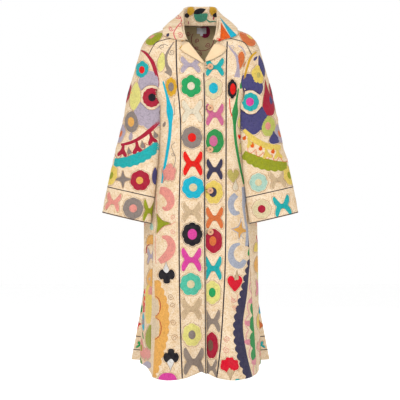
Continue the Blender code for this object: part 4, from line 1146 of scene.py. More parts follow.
RIGHT_SIDE_CURLS = (
    Curl("taupe", -130, 60, 9, 1.4, 90, 1),
    Curl("taupe", -97, 79, 11, 1.6, 200, -1),
    Curl("taupe", -92, 426, 7, 1.5, 0, 1),
    Curl("coral", -92, 640, 9, 1.5, 90, 1),
    Curl("coral", -92, 690, 9, 1.5, 270, -1),
    Curl("tan", -100, 910, 11, 1.7, 0, 1),
    Curl("tan", -92, 1000, 11, 1.7, 180, 1),
    Curl("tan", -88, 1050, 12, 1.7, 0, -1),
    Curl("tan", -95, 940, 10, 1.6, 90, -1),
)

# The wearer's left front, beside the strip
LEFT_SIDE_MARKS = (
    Mark(LEAF, 138, 106, 24, 62, 187, "orange", "tan"),
    Mark(LEAF, 153, 121, 8, 16, 30, "orange", "tan"),
    Mark(LEAF, 140, 190, 10, 30, 10, "leaf", None),
    Mark(HEART, 134, 367, 12, 18, 0, "red", None),
    Mark(LEAF, 134, 318, 13, 36, 0, "lemon", "tan"),
    Mark(LEAF, 137, 405, 10, 34, 0, "lemon", "tan"),
    Mark(HEART, 112, 500, 42, 46, 0, "khaki", "tan"),
    Mark(DROP, 120, 528, 18, 42, 0, "cream", "tan"),
    Mark(STAR, 136, 684, 58, 62, 8, "marigold", "steel"),
    Mark(HEART, 118, 866, 54, 56, 0, "scarlet", "tan"),
    Mark(DROP, 125, 843, 18, 46, 0, "sand", "tan"),
    Mark(FAN, 100, 1144, 66, 58, 0, "scarlet", "tan"),
    Mark(DROP, 103, 1172, 26, 48, 180, "sand", "tan"),
    Mark(HALF_ROUND, 127, 1194, 18, 10, 0, "teal", None),
    Mark(LEAF, 171, 752, 14, 42, 20, "leaf", None),
    Mark(LEAF, 176, 790, 16, 36, -20, "leaf", None),
    Mark(DROP, 179, 850, 16, 24, 0, "navy", None),
    Mark(DROP, 176, 922, 22, 26, 20, "rose", None),
    Mark(DROP, 164, 998, 24, 24, 40, "rose", None),
    Mark(DROP, 164, 1061, 22, 28, 40, "rose", None),
    Mark(DROP, 186, 1126, 20, 34, 15, "rose", None),
    Mark(HALF_ROUND, 174, 722, 26, 36, 0, "navy", None),
)
LEFT_SIDE_ROSETTES = (
    Rosette(109, 204, 34, 69, 6, 0.10, "black", "red", 20, 2, "tan"),
)
LEFT_SIDE_STROKES = (
    ("lavender", ((94, 52, 1), (106, 70, 3), (121, 88, 5), (128, 114, 5), (128, 144, 7), (125, 166, 12))),
    ("lavender", ((128, 56, 3), (142, 64, 2.5), (150, 76, 2), (156, 92, 1.5))),
    ("red", ((100, 234, 1.6), (101, 262, 1.8), (104, 284, 2), (111, 302, 2.2))),
    ("steel", ((124, 562, 11), (108, 580, 12), (105, 606, 11), (118, 626, 10), (136, 624, 4))),
    ("steel", ((146, 535, 6), (150, 565, 8), (148, 600, 6), (152, 640, 4), (160, 690, 5), (158, 740, 6))),
    ("steel", ((137, 729, 4), (114, 740, 9), (104, 766, 11), (114, 795, 13), (136, 804, 12), (154, 784, 8))),
    ("steel", ((140, 640, 1.4), (132, 668, 1.4), (112, 683, 1.4), (130, 694, 1.4), (150, 716, 1.4))),
    ("coral", ((128, 900, 1), (122, 926, 1), (108, 916, 1), (104, 906, 1))),
    ("crimson", ((186, 700, 2), (192, 780, 2), (198, 850, 2))),
    ("gold", ((172, 590, 5), (174, 640, 6), (176, 690, 3))),
)
LEFT_SIDE_BAND = ((166, 780, 4), (145, 907, 15), (128, 1010, 19), (140, 1105, 20), (167, 1192, 14))
LEFT_SIDE_LEAVES = ((189, 862, 3), (186, 930, 15), (184, 1030, 19), (191, 1130, 15), (198, 1170, 4))
LEFT_VINE = Vine("leaf", 131, 200, 149, 530, -21, -2, 5, 12, 0.26)
LEFT_SIDE_CURLS = (
    Curl("lavender", 108, 64, 9, 1.4, 180, 1),
    Curl("coral", 112, 922, 9, 1.6, 0, 1),
    Curl("coral", 118, 950, 9, 1.6, 180, 1),
    Curl("coral", 92, 1055, 11, 1.7, 90, 1),
    Curl("coral", 90, 1092, 12, 1.7, 270, -1),
)

# The gores at the sides, as far as they show from in front
RIGHT_GORE_MARKS = (
    Mark(HALF_ROUND, -167, 716, 30, 34, 0, "marigold", "tan"),
    Mark(BOW, -167, 772, 26, 56, 0, "lavender", "tan"),
    Mark(LEAF, -166, 846, 32, 64, 0, "marigold", "tan"),
    Mark(LEAF, -170, 848, 12, 20, 0, "steel", None),
    Mark(LEAF, -170, 890, 22, 34, 0, "coral", None),
    Mark(LEAF, -170, 1047, 34, 86, 0, "olive", "tan"),
    Mark(LEAF, -168, 1049, 16, 32, 0, "brown", None),
    Mark(FAN, -184, 1106, 32, 46, 0, "coral", "tan"),
    Mark(LEAF, -180, 1142, 34, 26, 0, "lavender", None),
    Mark(LEAF, -165, 672, 12, 26, 0, "pale_mint", None),
)
RIGHT_GORE_STROKES = (
    ("yellow", ((-176, 868, 5), (-176, 898, 11), (-175, 940, 12), (-176, 984, 10), (-176, 1004, 5))),
    ("crimson", ((-184, 765, 1.5), (-180, 738, 1.6), (-166, 730, 1.6), (-156, 734, 1.5))),
    ("red", ((-190, 880, 3), (-191, 925, 4), (-192, 965, 3))),
)
LEFT_GORE_MARKS = (
    Mark(HALF_ROUND, 198, 740, 30, 34, 0, "yellow", "tan"),
    Mark(LEAF, 196, 800, 26, 60, 0, "marigold", "tan"),
    Mark(BOW, 202, 880, 26, 56, 0, "rose", "tan"),
    Mark(LEAF, 206, 990, 28, 80, 0, "yellow", "tan"),
    Mark(FAN, 208, 1080, 30, 46, 0, "coral", "tan"),
)
LEFT_GORE_STROKES = (
    ("crimson", ((190, 700, 1.5), (196, 730, 1.6), (201, 760, 1.6))),
    ("lemon", ((198, 820, 5), (203, 860, 7), (206, 910, 5))),
)

# The back where it shows at the sides of the skirt
BACK_SLIVER_MARKS = (
    Mark(LEAF, -199, 863, 16, 16, 0, "teal", None),
    Mark(HEART, -204, 911, 22, 34, 0, "crimson", "tan"),
    Mark(LEAF, -206, 949, 26, 34, 0, "leaf", "tan"),
    Mark(STAR, -212, 1003, 26, 42, 0, "red", None),
    Mark(HEART, 202, 866, 22, 34, 0, "red", "tan"),
    Mark(HALF_ROUND, 207, 955, 26, 26, 0, "cyan", None),
    Mark(FANG, 212, 1007, 26, 34, 0, "orange", "tan"),
    Mark(LEAF, 204, 912, 16, 24, 0, "taupe", "tan"),
)
BACK_SLIVER_STROKES = (
    ("orange", ((-191, 640, 4), (-192, 700, 6), (-195, 760, 4))),
    ("tangerine", ((-190, 650, 2), (-190, 720, 3))),
    ("lemon", ((198, 780, 2), (202, 830, 3))),
    ("crimson", ((196, 770, 1.4), (204, 800, 1.6), (200, 840, 1.4))),
    ("orange", ((194, 700, 2), (197, 730, 3), (199, 760, 2))),
)

# The wearer's right sleeve, as it shows from in front
RIGHT_SLEEVE_MARKS = (
    Mark(LEAF, -221, 229, 38, 100, 5, "lemon", "tan"),
    Mark(LEAF, -236, 365, 14, 30, 10, "lavender", None),
    Mark(LILY, -264, 414, 34, 44, 8, "crimson", None),
    Mark(LILY, -214, 404, 36, 44, -6, "crimson", None),
    Mark(LILY, -165, 372, 34, 44, -16, "crimson", None),
    Mark(DROP, -242, 414, 14, 26, -10, "grey", "tan"),
    Mark(DROP, -196, 392, 16, 28, -10, "grey", "tan"),
    Mark(DROP, -153, 358, 16, 26, -20, "grey", "tan"),
    Mark(STAR, -263, 511, 58, 60, 0, "grey", "tan"),
    Mark(LEAF, -153, 500, 22, 62, 0, "violet", "tan"),
    Mark(BOW, -296, 588, 50, 62, 10, "coral", "tan"),
    Mark(BOW, -173, 617, 42, 76, 4, "olive", "tan"),
)
RIGHT_SLEEVE_ROSETTES = (
    Rosette(-197, 139, 48, 64, 6, 0.12, "teal", "red", 20, -1, "tan"),
    Rosette(-165, 233, 65, 69, 12, 0.05, "crimson", "black", 27, 1, "cream"),
    Rosette(-233, 316, 50, 76, 10, 0.03, "grey", "marigold", 23, -2, "tan"),
    Rosette(-204, 515, 71, 73, 7, 0.08, "crimson", "marigold", 26, -2, "tan"),
    Rosette(-228, 610, 73, 76, 8, 0.04, "grey", "coral", 28, 0, "tan"),
)
RIGHT_SLEEVE_FIELDS = (
    Field("lavender", -165, 233, 42, 92, 212, 318, 3), Field("lavender", -165, 233, 42, 112, 22, 162, 5),
)
RIGHT_SLEEVE_STROKES = (
    ("marigold", ((-238, 210, 2.5), (-227, 230, 3.2), (-233, 252, 2.5))),
    ("crimson", (
        (-204, 70, 3), (-184, 82, 6), (-168, 101, 7.5),
        (-156, 130, 7), (-147, 163, 7), (-141, 198, 5),
    )),
    ("crimson", (
        (-272, 394, 4), (-250, 390, 5.5), (-226, 382, 6),
        (-198, 366, 7), (-172, 346, 8), (-136, 310, 7),
    )),
)
RIGHT_SLEEVE_BAND = (
    (-296, 452, 14), (-270, 455, 19), (-245, 452, 21), (-215, 442, 22), (-176, 422, 21), (-138, 390, 17),
)

# The wearer's left sleeve, as it shows from in front
LEFT_SLEEVE_MARKS = (
    Mark(LEAF, 208, 126, 20, 78, -12, "violet", None),
    Mark(DROP, 229, 234, 42, 128, -8, "crimson", "tan"),
    Mark(LEAF, 237, 244, 24, 52, -10, "violet", None),
    Mark(DROP, 252, 366, 42, 50, -12, "violet", "tan"),
    Mark(LILY, 168, 386, 28, 36, -20, "yellow", None),
    Mark(LILY, 226, 424, 34, 38, -10, "yellow", None),
    Mark(LILY, 264, 424, 30, 38, -8, "yellow", None),
    Mark(DROP, 178, 392, 13, 24, 10, "tangerine", None),
    Mark(DROP, 206, 402, 13, 24, 10, "tangerine", None),
    Mark(DROP, 248, 412, 13, 24, 10, "tangerine", None),
    Mark(DROP, 152, 368, 12, 22, 30, "tangerine", None),
    Mark(BOW, 264, 512, 54, 56, -8, "sand", "tan"),
    Mark(BOW, 279, 601, 58, 72, -10, "teal", "tan"),
    Mark(LEAF, 188, 100, 9, 20, 40, "violet", None),
)
LEFT_SLEEVE_ROSETTES = (
    Rosette(196, 157, 46, 72, 5, 0.13, "yellow", "khaki", 13, 2, "tan"),
    Rosette(171, 248, 61, 66, 8, 0.06, "teal", "hot_pink", 28, -2, "cream"),
    Rosette(231, 330, 52, 74, 7, 0.06, "lime", "coral", 20, -1, "tan"),
    Rosette(198, 522, 64, 66, 8, 0.06, "pale_mint", "straw", 25, 0, "tan"),
    Rosette(209, 612, 64, 66, 9, 0.05, "straw", "crimson", 28, 0, "tan"),
)
LEFT_SLEEVE_FIELDS = (
    Field("violet", 171, 248, 40, 98, 200, 326, 3), Field("violet", 171, 248, 42, 114, 18, 152, 5),
)
LEFT_SLEEVE_STROKES = (
    ("gold", ((193, 76, 3), (174, 94, 4.5), (161, 127, 4), (152, 162, 4), (147, 198, 3))),
    ("yellow", ((146, 340, 6), (164, 358, 9), (184, 376, 11), (216, 394, 11), (246, 402, 11), (276, 402, 9))),
)
LEFT_SLEEVE_BAND = (
    (144, 424, 15), (168, 440, 20), (193, 452, 22), (232, 463, 22), (262, 467, 20), (298, 466, 16),
)


def smooth_line(points, spacing):
    """A smooth line through rows of any length, resampled at even steps of their first two columns."""
    steps = np.hypot(*np.diff(points[:, :2], axis=0).T)
    at = np.concatenate([[0], np.cumsum(steps)])
    Knot = namedtuple("Knot", "at value")
    samples = np.linspace(0, at[-1], max(int(at[-1] / spacing) + 1, 4))
    columns = [
        smooth([Knot(a, value) for a, value in zip(at, points[:, n])], "at", "value", samples)
        for n in range(points.shape[1])
    ]
    return np.stack(columns, -1)


class Embroidery:
    """Patches of silk thread laid on one panel, placed in millimetres on one of its charts."""

    def __init__(self, panel, chart):
        self.panel = panel
        self.chart = panel.chart(chart)
        self.patches = []
        self.height = bpy.context.scene.coat_sizes.thread_height

    def lay(self, x, down, lift, colour, along, across):
        """A patch from a grid of places in metres, with the distances along and across its stitch rows."""
        u, v = self.chart.find(x, -down)
        points, out = self.panel.place(u, v, np.broadcast_to(lift, x.shape))
        self.keep(points, out, colour, np.broadcast_to(along, x.shape), np.broadcast_to(across, x.shape))

    def keep(self, points, out, colour, along, across):
        """Keeps a patch, turned so that its faces look out of the cloth."""
        if turned_in(points, out):
            points, along, across = points[::-1], along[::-1], across[::-1]
        self.patches.append((points, thread_colour(colour), along, across))

    def stroke(self, colour, rows, step=STROKE_STEP, lift_share=1.0, scallop=None, sides=(1, 1)):
        """A band of stitches along a line: rows of across, down and half width, in millimetres."""
        line = smooth_line(np.array(rows, float) * MM, step)
        tangent = np.gradient(line[:, :2], axis=0)
        tangent /= np.maximum(np.linalg.norm(tangent, axis=1, keepdims=True), 1e-9)
        length = np.concatenate([[0], np.cumsum(np.hypot(*np.diff(line[:, :2], axis=0).T))])
        half = line[:, 2].copy()
        wide = np.stack([half * sides[0], half * sides[1]])
        if scallop:
            pitch, depth, side = scallop
            wave = np.abs(np.sin(math.pi * length / (pitch * MM))) ** 0.6
            wide[side] += depth * MM * (wave - 1)
        across_steps = 5 if half.max() < 0.004 else 9
        t = np.linspace(-1, 1, across_steps)
        t = np.sign(t) * np.abs(t) ** 0.8
        reach = np.where(t < 0, -t * wide[0][:, None], t * wide[1][:, None]) * np.sign(t)
        x = line[:, :1] - tangent[:, 1:] * reach
        down = line[:, 1:2] + tangent[:, :1] * reach
        crown = np.where(np.abs(t) > 0.99, -EDGE_SINK, lift_share * self.height)
        taper = np.ones(len(line))
        taper[[0, -1]] = 0.0
        lift = crown[None] * taper[:, None] - EDGE_SINK * (1 - taper[:, None])
        self.lay(x, down, lift, colour, length[:, None] + 0 * reach, reach)

    def ruled(self, colour, half, row=None, column=None, inset=0.0, first=0.0, last=1.0):
        """A line of stitches along a row or a column of the cloth's grid, in from the panel's edge."""
        panel = self.panel
        rows, columns = panel.outer.shape[:2]
        across_end = columns if panel.closed else columns - 1
        t = np.linspace(-1, 1, 5)
        if row is not None:
            u = (np.linspace(first, last, across_end * 2 + 1) * across_end)[:, None] + 0 * t
            v = np.full(u.shape, float(row % rows))
            along_grid, inward = np.gradient(panel.outer, axis=0), 1 if row >= 0 else -1
        else:
            v = (np.linspace(first, last, rows) * (rows - 1))[:, None] + 0 * t
            u = np.full(v.shape, float(column % columns))
            along_grid, inward = np.gradient(panel.outer, axis=1), 1 if column >= 0 else -1
        spacing = np.linalg.norm(panel.sample(along_grid, u, v), axis=-1)
        moved = (inward * inset + t * half) * MM / np.maximum(spacing, 1e-5)
        u, v = (u, v + moved) if row is not None else (u + moved, v)
        lift = np.where(np.abs(t) > 0.99, -EDGE_SINK, self.height) + 0 * u
        points, out = panel.place(u, v, lift)
        centre = points[:, 2]
        length = np.concatenate([[0], np.cumsum(np.linalg.norm(np.diff(centre, axis=0), axis=-1))])
        self.keep(points, out, colour, length[:, None] + 0 * u, t * half * MM + 0 * u)

    def shape(self, colour, outline, x, down, wide, tall, turn=0, lift_share=1.0, border="tan", steps=56):
        """A filled motif: a closed outline of fractions of its half width and half height about its middle."""
        round_outline = closed_line(outline, steps)
        edge = turned(round_outline * np.array([wide / 2, tall / 2]) * MM, turn)
        size = np.linalg.norm(edge, axis=1).mean()
        inside = np.linspace(0, 0.93, max(3, int(size / RING_STEP) + 2))
        rings = np.append(inside, 1.0)[:, None]
        crown = np.append(1.15 - 0.3 * inside ** 2, 0.0)[:, None]
        lifts = crown * (lift_share * self.height + EDGE_SINK) - EDGE_SINK
        length = np.concatenate([[0], np.cumsum(np.hypot(*np.diff(edge, axis=0).T))])
        self.lay(
            x * MM + rings * edge[:, 0], down * MM + rings * edge[:, 1], lifts + 0 * edge[:, 0],
            colour, length + 0 * rings, rings * size + 0 * edge[:, 0],
        )
        if border:
            grown = edge * (1 + 0.0018 / max(size, 0.004))
            ring = np.concatenate([grown, np.full((len(grown), 1), 0.0009)], 1)
            ring[:, 0] += x * MM
            ring[:, 1] += down * MM
            self.stroke(border, ring / MM, step=0.005, lift_share=0.7)

    def field(self, row):
        """A ground of one colour round part of a rosette: a crescent whose outer edge is lobed."""
        t = np.linspace(0, 1, 44)
        angle = np.radians(row.start + (row.end - row.start) * t)
        lobed = 1 - 0.16 * (1 - np.abs(np.sin(row.lobes * math.pi * t)) ** 0.6)
        outer = row.inner + (row.outer - row.inner) * np.sin(math.pi * t) ** 0.7 * lobed
        rings = [np.stack([r * np.cos(angle), r * np.sin(angle)], -1) for r in (outer, row.inner + 0 * t)]
        outline = np.concatenate([rings[0], rings[1][-2:0:-1]])
        middle = outline.mean(0)
        self.shape(row.colour, outline - middle, row.x + middle[0], row.down + middle[1], 2, 2)

    def vine(self, row):
        """A tapered stem with one belly."""
        t = np.linspace(0, 1, 24)
        x = row.x + (row.to_x - row.x) * t + row.bow * np.sin(math.pi * t)
        x += row.sway * np.sin(2 * math.pi * t)
        half = 0.4 * row.half + 0.6 * row.half * np.sin(math.pi * t) ** 0.6
        half += (row.belly - row.half) * np.exp(-(((t - row.at) / 0.08) ** 2))
        self.stroke(row.colour, np.stack([x, row.down + (row.to_down - row.down) * t, half], -1))

    def rosette(self, row):
        """A round flower: petals round the rim, a plain ring or two and a round middle."""
        border = row.border
        self.shape(row.colour, petals(row.petals, row.depth), row.x, row.down, row.wide, row.tall, border=border)
        if row.middle:
            self.shape(
                row.middle, petals(6, 0.02), row.x + row.shift, row.down, row.middle_wide,
                row.middle_wide * row.tall / row.wide, lift_share=1.9, border=None, steps=26,
            )

    def spiral(self, colour, x, down, radius, turns, start, hand, half=1.2):
        """A curl of thin stitches that winds in to a point."""
        t = np.linspace(0, 1, int(9 * turns) + 4)
        angle = math.radians(start) + hand * 2 * math.pi * turns * t
        reach = radius * (1 - 0.86 * t)
        rows = np.stack([x + reach * np.cos(angle), down + reach * np.sin(angle), half + 0 * t], -1)
        self.stroke(colour, rows, step=0.0028)

    def build(self, name, materials):
        """The mesh object, with the thread's colour and its stitch rows as attributes."""
        mesh = bmesh.new()
        colour_layer = mesh.verts.layers.float_color.new("thread")
        stitch_layer = mesh.verts.layers.float_vector.new("stitch")
        for points, colour, along, across in self.patches:
            rows, columns = points.shape[:2]
            made = bmesh.ops.create_grid(mesh, x_segments=columns - 1, y_segments=rows - 1, size=1)["verts"]
            places = zip(made, points.reshape(-1, 3).tolist(), along.ravel().tolist(), across.ravel().tolist())
            for vertex, co, a, b in places:
                vertex.co = co
                vertex[colour_layer] = colour
                vertex[stitch_layer] = (a, b, 0.0)
        bmesh.ops.remove_doubles(mesh, verts=mesh.verts, dist=2e-6)
        made = link(name, mesh, materials)
        return made


def closed_line(outline, steps):
    """A smooth closed curve through a few points, given as a formula's points or a short table."""
    points = np.array(outline, float)
    if len(points) >= steps:
        return np.concatenate([points, points[:1]])
    before, after = np.roll(points, 1, 0), np.roll(points, -1, 0)
    slope = (after - before) / 2
    t = np.linspace(0, 1, max(steps // len(points), 3), endpoint=False)[:, None]
    pieces = []
    for n in range(len(points)):
        m = (n + 1) % len(points)
        pieces.append(
            points[n] * (1 + 2 * t) * (1 - t) ** 2 + points[m] * t * t * (3 - 2 * t)
            + slope[n] * t * (1 - t) ** 2 - slope[m] * t * t * (1 - t)
        )
    line = np.concatenate(pieces)
    return np.concatenate([line, line[:1]])


def arc_line(row):
    """Rows of a line along part of an oval."""
    angle = np.radians(np.linspace(row.start, row.end, 20))
    x, down = row.x + row.wide * np.cos(angle), row.down + row.tall * np.sin(angle)
    return np.stack([x, down, row.half + 0 * angle], -1)


def beside(band, side, gap, pitch, depth, half):
    """Rows of a thin scalloped line that runs along one side of a band, in millimetres."""
    line = smooth_line(np.array(band, float), 3.0)
    tangent = np.gradient(line[:, :2], axis=0)
    tangent /= np.linalg.norm(tangent, axis=1, keepdims=True)
    length = np.concatenate([[0], np.cumsum(np.hypot(*np.diff(line[:, :2], axis=0).T))])
    reach = side * (line[:, 2] + gap + depth * (1 - np.abs(np.sin(math.pi * length / pitch))))
    x, down = line[:, 0] + tangent[:, 1] * reach, line[:, 1] - tangent[:, 0] * reach
    return np.stack([x, down, half + 0 * reach], -1)


def turned(points, degrees):
    angle = math.radians(degrees)
    spin = np.array([[math.cos(angle), -math.sin(angle)], [math.sin(angle), math.cos(angle)]])
    return points @ spin.T


def petals(count, depth, steps=64):
    """A round outline with petals of this depth."""
    angle = np.linspace(0, 2 * math.pi, steps, endpoint=False)
    reach = 1 - 1.3 * depth * (1 - np.abs(np.cos(count * angle / 2)) ** 0.7)
    return np.stack([reach * np.sin(angle), -reach * np.cos(angle)], -1)


def linear(channel):
    """Light from an eight-bit channel's share of full."""
    return channel / 12.92 if channel <= 0.04045 else ((channel + 0.055) / 1.055) ** 2.4


def thread_colour(name):
    return (*(DYE_STRENGTH * linear(channel) for channel in getattr(bpy.context.scene.coat_threads, name)), 1.0)


# Creases of the fronts and sleeves as they show from in front: troughs are negative, ridges positive
CREASES = {
    "front_right": ("seen", (
        Crease(-128, 176, -92, 262, 4, -2.4, 11), Crease(-126, 214, -104, 330, -3, 1.8, 12),
        Crease(-140, 420, -118, 560, 4, -1.8, 12), Crease(-112, 640, -124, 1120, 6, -2.6, 15),
        Crease(-84, 700, -88, 1160, -4, 1.8, 13), Crease(-46, 760, -40, 1176, 5, -2.4, 15),
        Crease(-20, 820, -24, 1168, -3, 1.8, 12),
    )),
    "front_left": ("seen", (
        Crease(128, 182, 100, 270, -4, -2.4, 11), Crease(122, 230, 108, 340, 3, 1.8, 12),
        Crease(136, 430, 118, 580, -4, -1.8, 12), Crease(112, 660, 128, 1130, -6, -2.6, 15),
        Crease(150, 720, 168, 1140, 5, 2.0, 13), Crease(66, 800, 52, 1170, 4, -2.2, 12),
    )),
    "side_right": ("flat", (
        Crease(-40, 420, -58, 1120, 6, -3.0, 16), Crease(0, 380, 2, 1130, -6, 2.6, 18),
        Crease(42, 440, 60, 1120, -5, -2.8, 15),
    )),
    "side_left": ("flat", (
        Crease(-42, 440, -60, 1120, 5, -2.8, 15), Crease(2, 380, -2, 1130, 6, 2.6, 18),
        Crease(40, 420, 56, 1120, -6, -3.0, 16),
    )),
    "back": ("flat", (
        Crease(-150, 190, -60, 330, 8, -2.4, 14), Crease(148, 196, 66, 350, -8, -2.4, 14),
        Crease(-52, 520, -78, 1130, 6, -3.0, 17), Crease(20, 560, 8, 1130, -6, 2.6, 18),
        Crease(64, 540, 96, 1120, -6, -3.0, 16), Crease(-150, 600, -210, 1120, 5, 2.6, 18),
        Crease(150, 620, 214, 1120, -5, -2.8, 16), Crease(-20, 120, 14, 420, 6, -1.6, 16),
    )),
    "sleeve_right": ("seen", (
        Crease(-150, 178, -226, 300, 8, -2.8, 12), Crease(-146, 232, -240, 352, -6, 2.2, 12),
        Crease(-142, 300, -232, 372, 6, -2.6, 11), Crease(-272, 330, -196, 420, 6, -2.2, 12),
        Crease(-150, 400, -250, 468, -5, 2.0, 12), Crease(-168, 470, -290, 520, 5, -2.0, 12),
        Crease(-200, 560, -212, 640, 3, -1.6, 12),
    )),
    "sleeve_left": ("seen", (
        Crease(150, 182, 224, 306, -8, -2.8, 12), Crease(148, 240, 240, 356, 6, 2.2, 12),
        Crease(144, 306, 236, 380, -6, -2.6, 11), Crease(268, 336, 192, 424, -6, -2.2, 12),
        Crease(150, 408, 252, 470, 5, 2.0, 12), Crease(170, 476, 288, 524, -5, -2.0, 12),
        Crease(206, 566, 214, 640, -3, -1.6, 12),
    )),
}
# The sleeves' hidden sides, by the way round from the middle column
SLEEVE_BACK_CREASES = (
    Crease(-70, 170, 20, 300, 8, -2.6, 13), Crease(-80, 270, 30, 360, -6, 2.0, 12),
    Crease(-90, 350, 10, 430, 6, -2.4, 12), Crease(60, 380, -40, 470, 6, 2.0, 13),
    Crease(20, 500, 8, 640, 3, -1.8, 13),
)


def crease_all(panels):
    """Puts the creases in, on the sides that show and on the hidden ones."""
    for name, (chart, rows) in CREASES.items():
        panels[name].crease(chart, rows)
    for name in ("sleeve_right", "sleeve_left"):
        panels[name].crease("flat", SLEEVE_BACK_CREASES)


def embroider(work, marks=(), rosettes=(), strokes=(), curls=()):
    """Lays a panel's tables of motifs: bands first, then filled shapes, flowers and curls on top."""
    for colour, rows in strokes:
        work.stroke(colour, rows)
    for mark in marks:
        turn = getattr(mark, "turn", 0)
        outline = getattr(mark, "outline", BOW)
        work.shape(mark.colour, outline, mark.x, mark.down, mark.wide, mark.tall, turn, border=mark.border)
    for row in rosettes:
        work.rosette(row)
    for row in curls:
        work.spiral(row.colour, row.x, row.down, row.radius, row.turns, row.start, row.hand)


def front_embroidery():
    """The two fronts: a strip of bows and rosettes beside the opening, and vines and bands beside it."""
    right = Embroidery(panels()["front_right"], "seen")
    right.stroke("marigold", RIGHT_SIDE_BAND, scallop=(27, 9, 0))
    right.vine(RIGHT_VINE)
    embroider(right, RIGHT_SIDE_MARKS, RIGHT_SIDE_ROSETTES, RIGHT_SIDE_STROKES, RIGHT_SIDE_CURLS)
    embroider(right, RIGHT_STRIP_BOWS, RIGHT_STRIP_ROSETTES)
    right.stroke("ink", RIGHT_STRIP_LINE)
    right.ruled("ink", 2.4, column=0, inset=3.0, first=0.0, last=0.865)
    right.ruled("ink", 1.8, row=-1, inset=2.2)
    dress(right.panel, {"embroidery_front_right": right})
    left = Embroidery(panels()["front_left"], "seen")
    left.stroke("navy", LEFT_SIDE_BAND, scallop=(27, 11, 1))
    left.stroke("leaf", LEFT_SIDE_LEAVES, scallop=(56, 14, 1))
    left.vine(LEFT_VINE)
    embroider(left, LEFT_SIDE_MARKS, LEFT_SIDE_ROSETTES, LEFT_SIDE_STROKES, LEFT_SIDE_CURLS)
    left.stroke("rose", beside(LEFT_SIDE_BAND, 1, 5, 62, 12, 1.4))
    embroider(left, LEFT_STRIP_BOWS, LEFT_STRIP_ROSETTES)
    left.stroke("ink", LEFT_STRIP_LINE)
    left.ruled("ink", 1.8, row=-1, inset=2.2)
    dress(left.panel, {"embroidery_front_left": left})


RIGHT_STRIP_LINE = (
    (-82, 36, 2.7), (-81, 105, 2.7), (-75, 214, 2.7), (-72, 242, 2.7), (-72, 650, 2.7), (-70, 900, 2.7),
    (-66, 1050, 2.7), (-61, 1190, 2.7),
)
LEFT_STRIP_LINE = (
    (92, 40, 2.7), (90, 90, 2.7), (88, 400, 2.7), (87, 683, 2.7), (85, 800, 2.7), (78, 950, 2.7),
    (68, 1090, 2.7), (56, 1190, 2.7),
)


def side_embroidery():
    """The gores: what shows from in front, and vines round the side that carry on behind."""
    for name, marks, strokes, sign in (
        ("right", RIGHT_GORE_MARKS, RIGHT_GORE_STROKES, -1), ("left", LEFT_GORE_MARKS, LEFT_GORE_STROKES, 1),
    ):
        panel = panels()[f"side_{name}"]
        work = Embroidery(panel, "seen")
        embroider(work, marks, strokes=strokes)
        # A dark ink line along the seam to the back: partly an embroidered seam line, partly painted shadow for the
        # valley at that seam.
        work.ruled("ink", 1.8, column=-1, inset=2.0)
        behind = Embroidery(panel, "flat")
        for n, (colour, middle) in enumerate(GORE_FLOWERS):
            x = sign * (34 + 16 * math.sin(1.7 * n) + 0.028 * n * n * 10)
            behind.rosette(Rosette(x, 330 + 96 * n, 62, 66, 5 + n % 4, 0.09, colour, middle, 24, 0, "tan"))
            behind.spiral("coral", x - sign * 42, 372 + 96 * n, 11, 1.6, 90 * n, sign)
            behind.shape("leaf", LEAF, x + sign * 6, 378 + 96 * n, 14, 34, 50 * sign)
        work.patches += behind.patches
        dress(panel, {f"embroidery_side_{name}": work})


GORE_FLOWERS = (
    ("teal", "red"), ("marigold", "brown"), ("crimson", "straw"), ("lavender", "navy"), ("green", "cream"),
    ("pink", "black"), ("lemon", "grey"), ("cyan", "orange"), ("coral", "olive"),
)


def sleeve_embroidery():
    """The sleeves: flowers on coloured grounds, an arc of scallops below, and a flowered cuff band."""
    for name, fields, marks, rosettes, strokes, band, colours, sign in (
        ("right", RIGHT_SLEEVE_FIELDS, RIGHT_SLEEVE_MARKS, RIGHT_SLEEVE_ROSETTES, RIGHT_SLEEVE_STROKES,
         RIGHT_SLEEVE_BAND, ("teal", "crimson"), -1),
        ("left", LEFT_SLEEVE_FIELDS, LEFT_SLEEVE_MARKS, LEFT_SLEEVE_ROSETTES, LEFT_SLEEVE_STROKES,
         LEFT_SLEEVE_BAND, ("olive", "tangerine"), 1),
    ):
        panel = panels()[f"sleeve_{name}"]
        work = Embroidery(panel, "seen")
        work.stroke(colours[0], band, scallop=(22, 7, 1))
        for row in fields:
            work.field(row)
        embroider(work, marks, rosettes, strokes)
        work.stroke(colours[1], beside(band, 1, -4, 34, 22, 1.1))
        rows = panel.outer.shape[0]
        cuff_row = rows - 1 - int(SLEEVE_ROWS * CUFF_DEPTH / (SLEEVE[0].z - SLEEVE[-1].z))
        work.ruled("ink", 1.9, row=cuff_row)
        work.ruled("ink", 1.9, row=-1, inset=2.4)
        behind = Embroidery(panel, "flat")
        for n, (colour, middle) in enumerate(SLEEVE_FLOWERS):
            x = -sign * (44 if n % 2 else -20)
            behind.rosette(Rosette(x, 150 + 70 * n, 64, 68, 5 + n % 3, 0.09, colour, middle, 24, 0, "tan"))
            behind.spiral(colours[1], -x, 168 + 70 * n, 11, 1.6, 80 * n, sign)
        for n, colour in enumerate(("grey", "olive")):
            behind.shape(colour, BOW, sign * 66 * n, 606, 50, 64)
        work.patches += behind.patches
        dress(panel, {f"embroidery_sleeve_{name}": work})


SLEEVE_FLOWERS = (
    ("marigold", "navy"), ("crimson", "black"), ("mint", "straw"), ("lavender", "orange"), ("teal", "red"),
    ("yellow", "olive"),
)
CUFF_DEPTH = 0.092


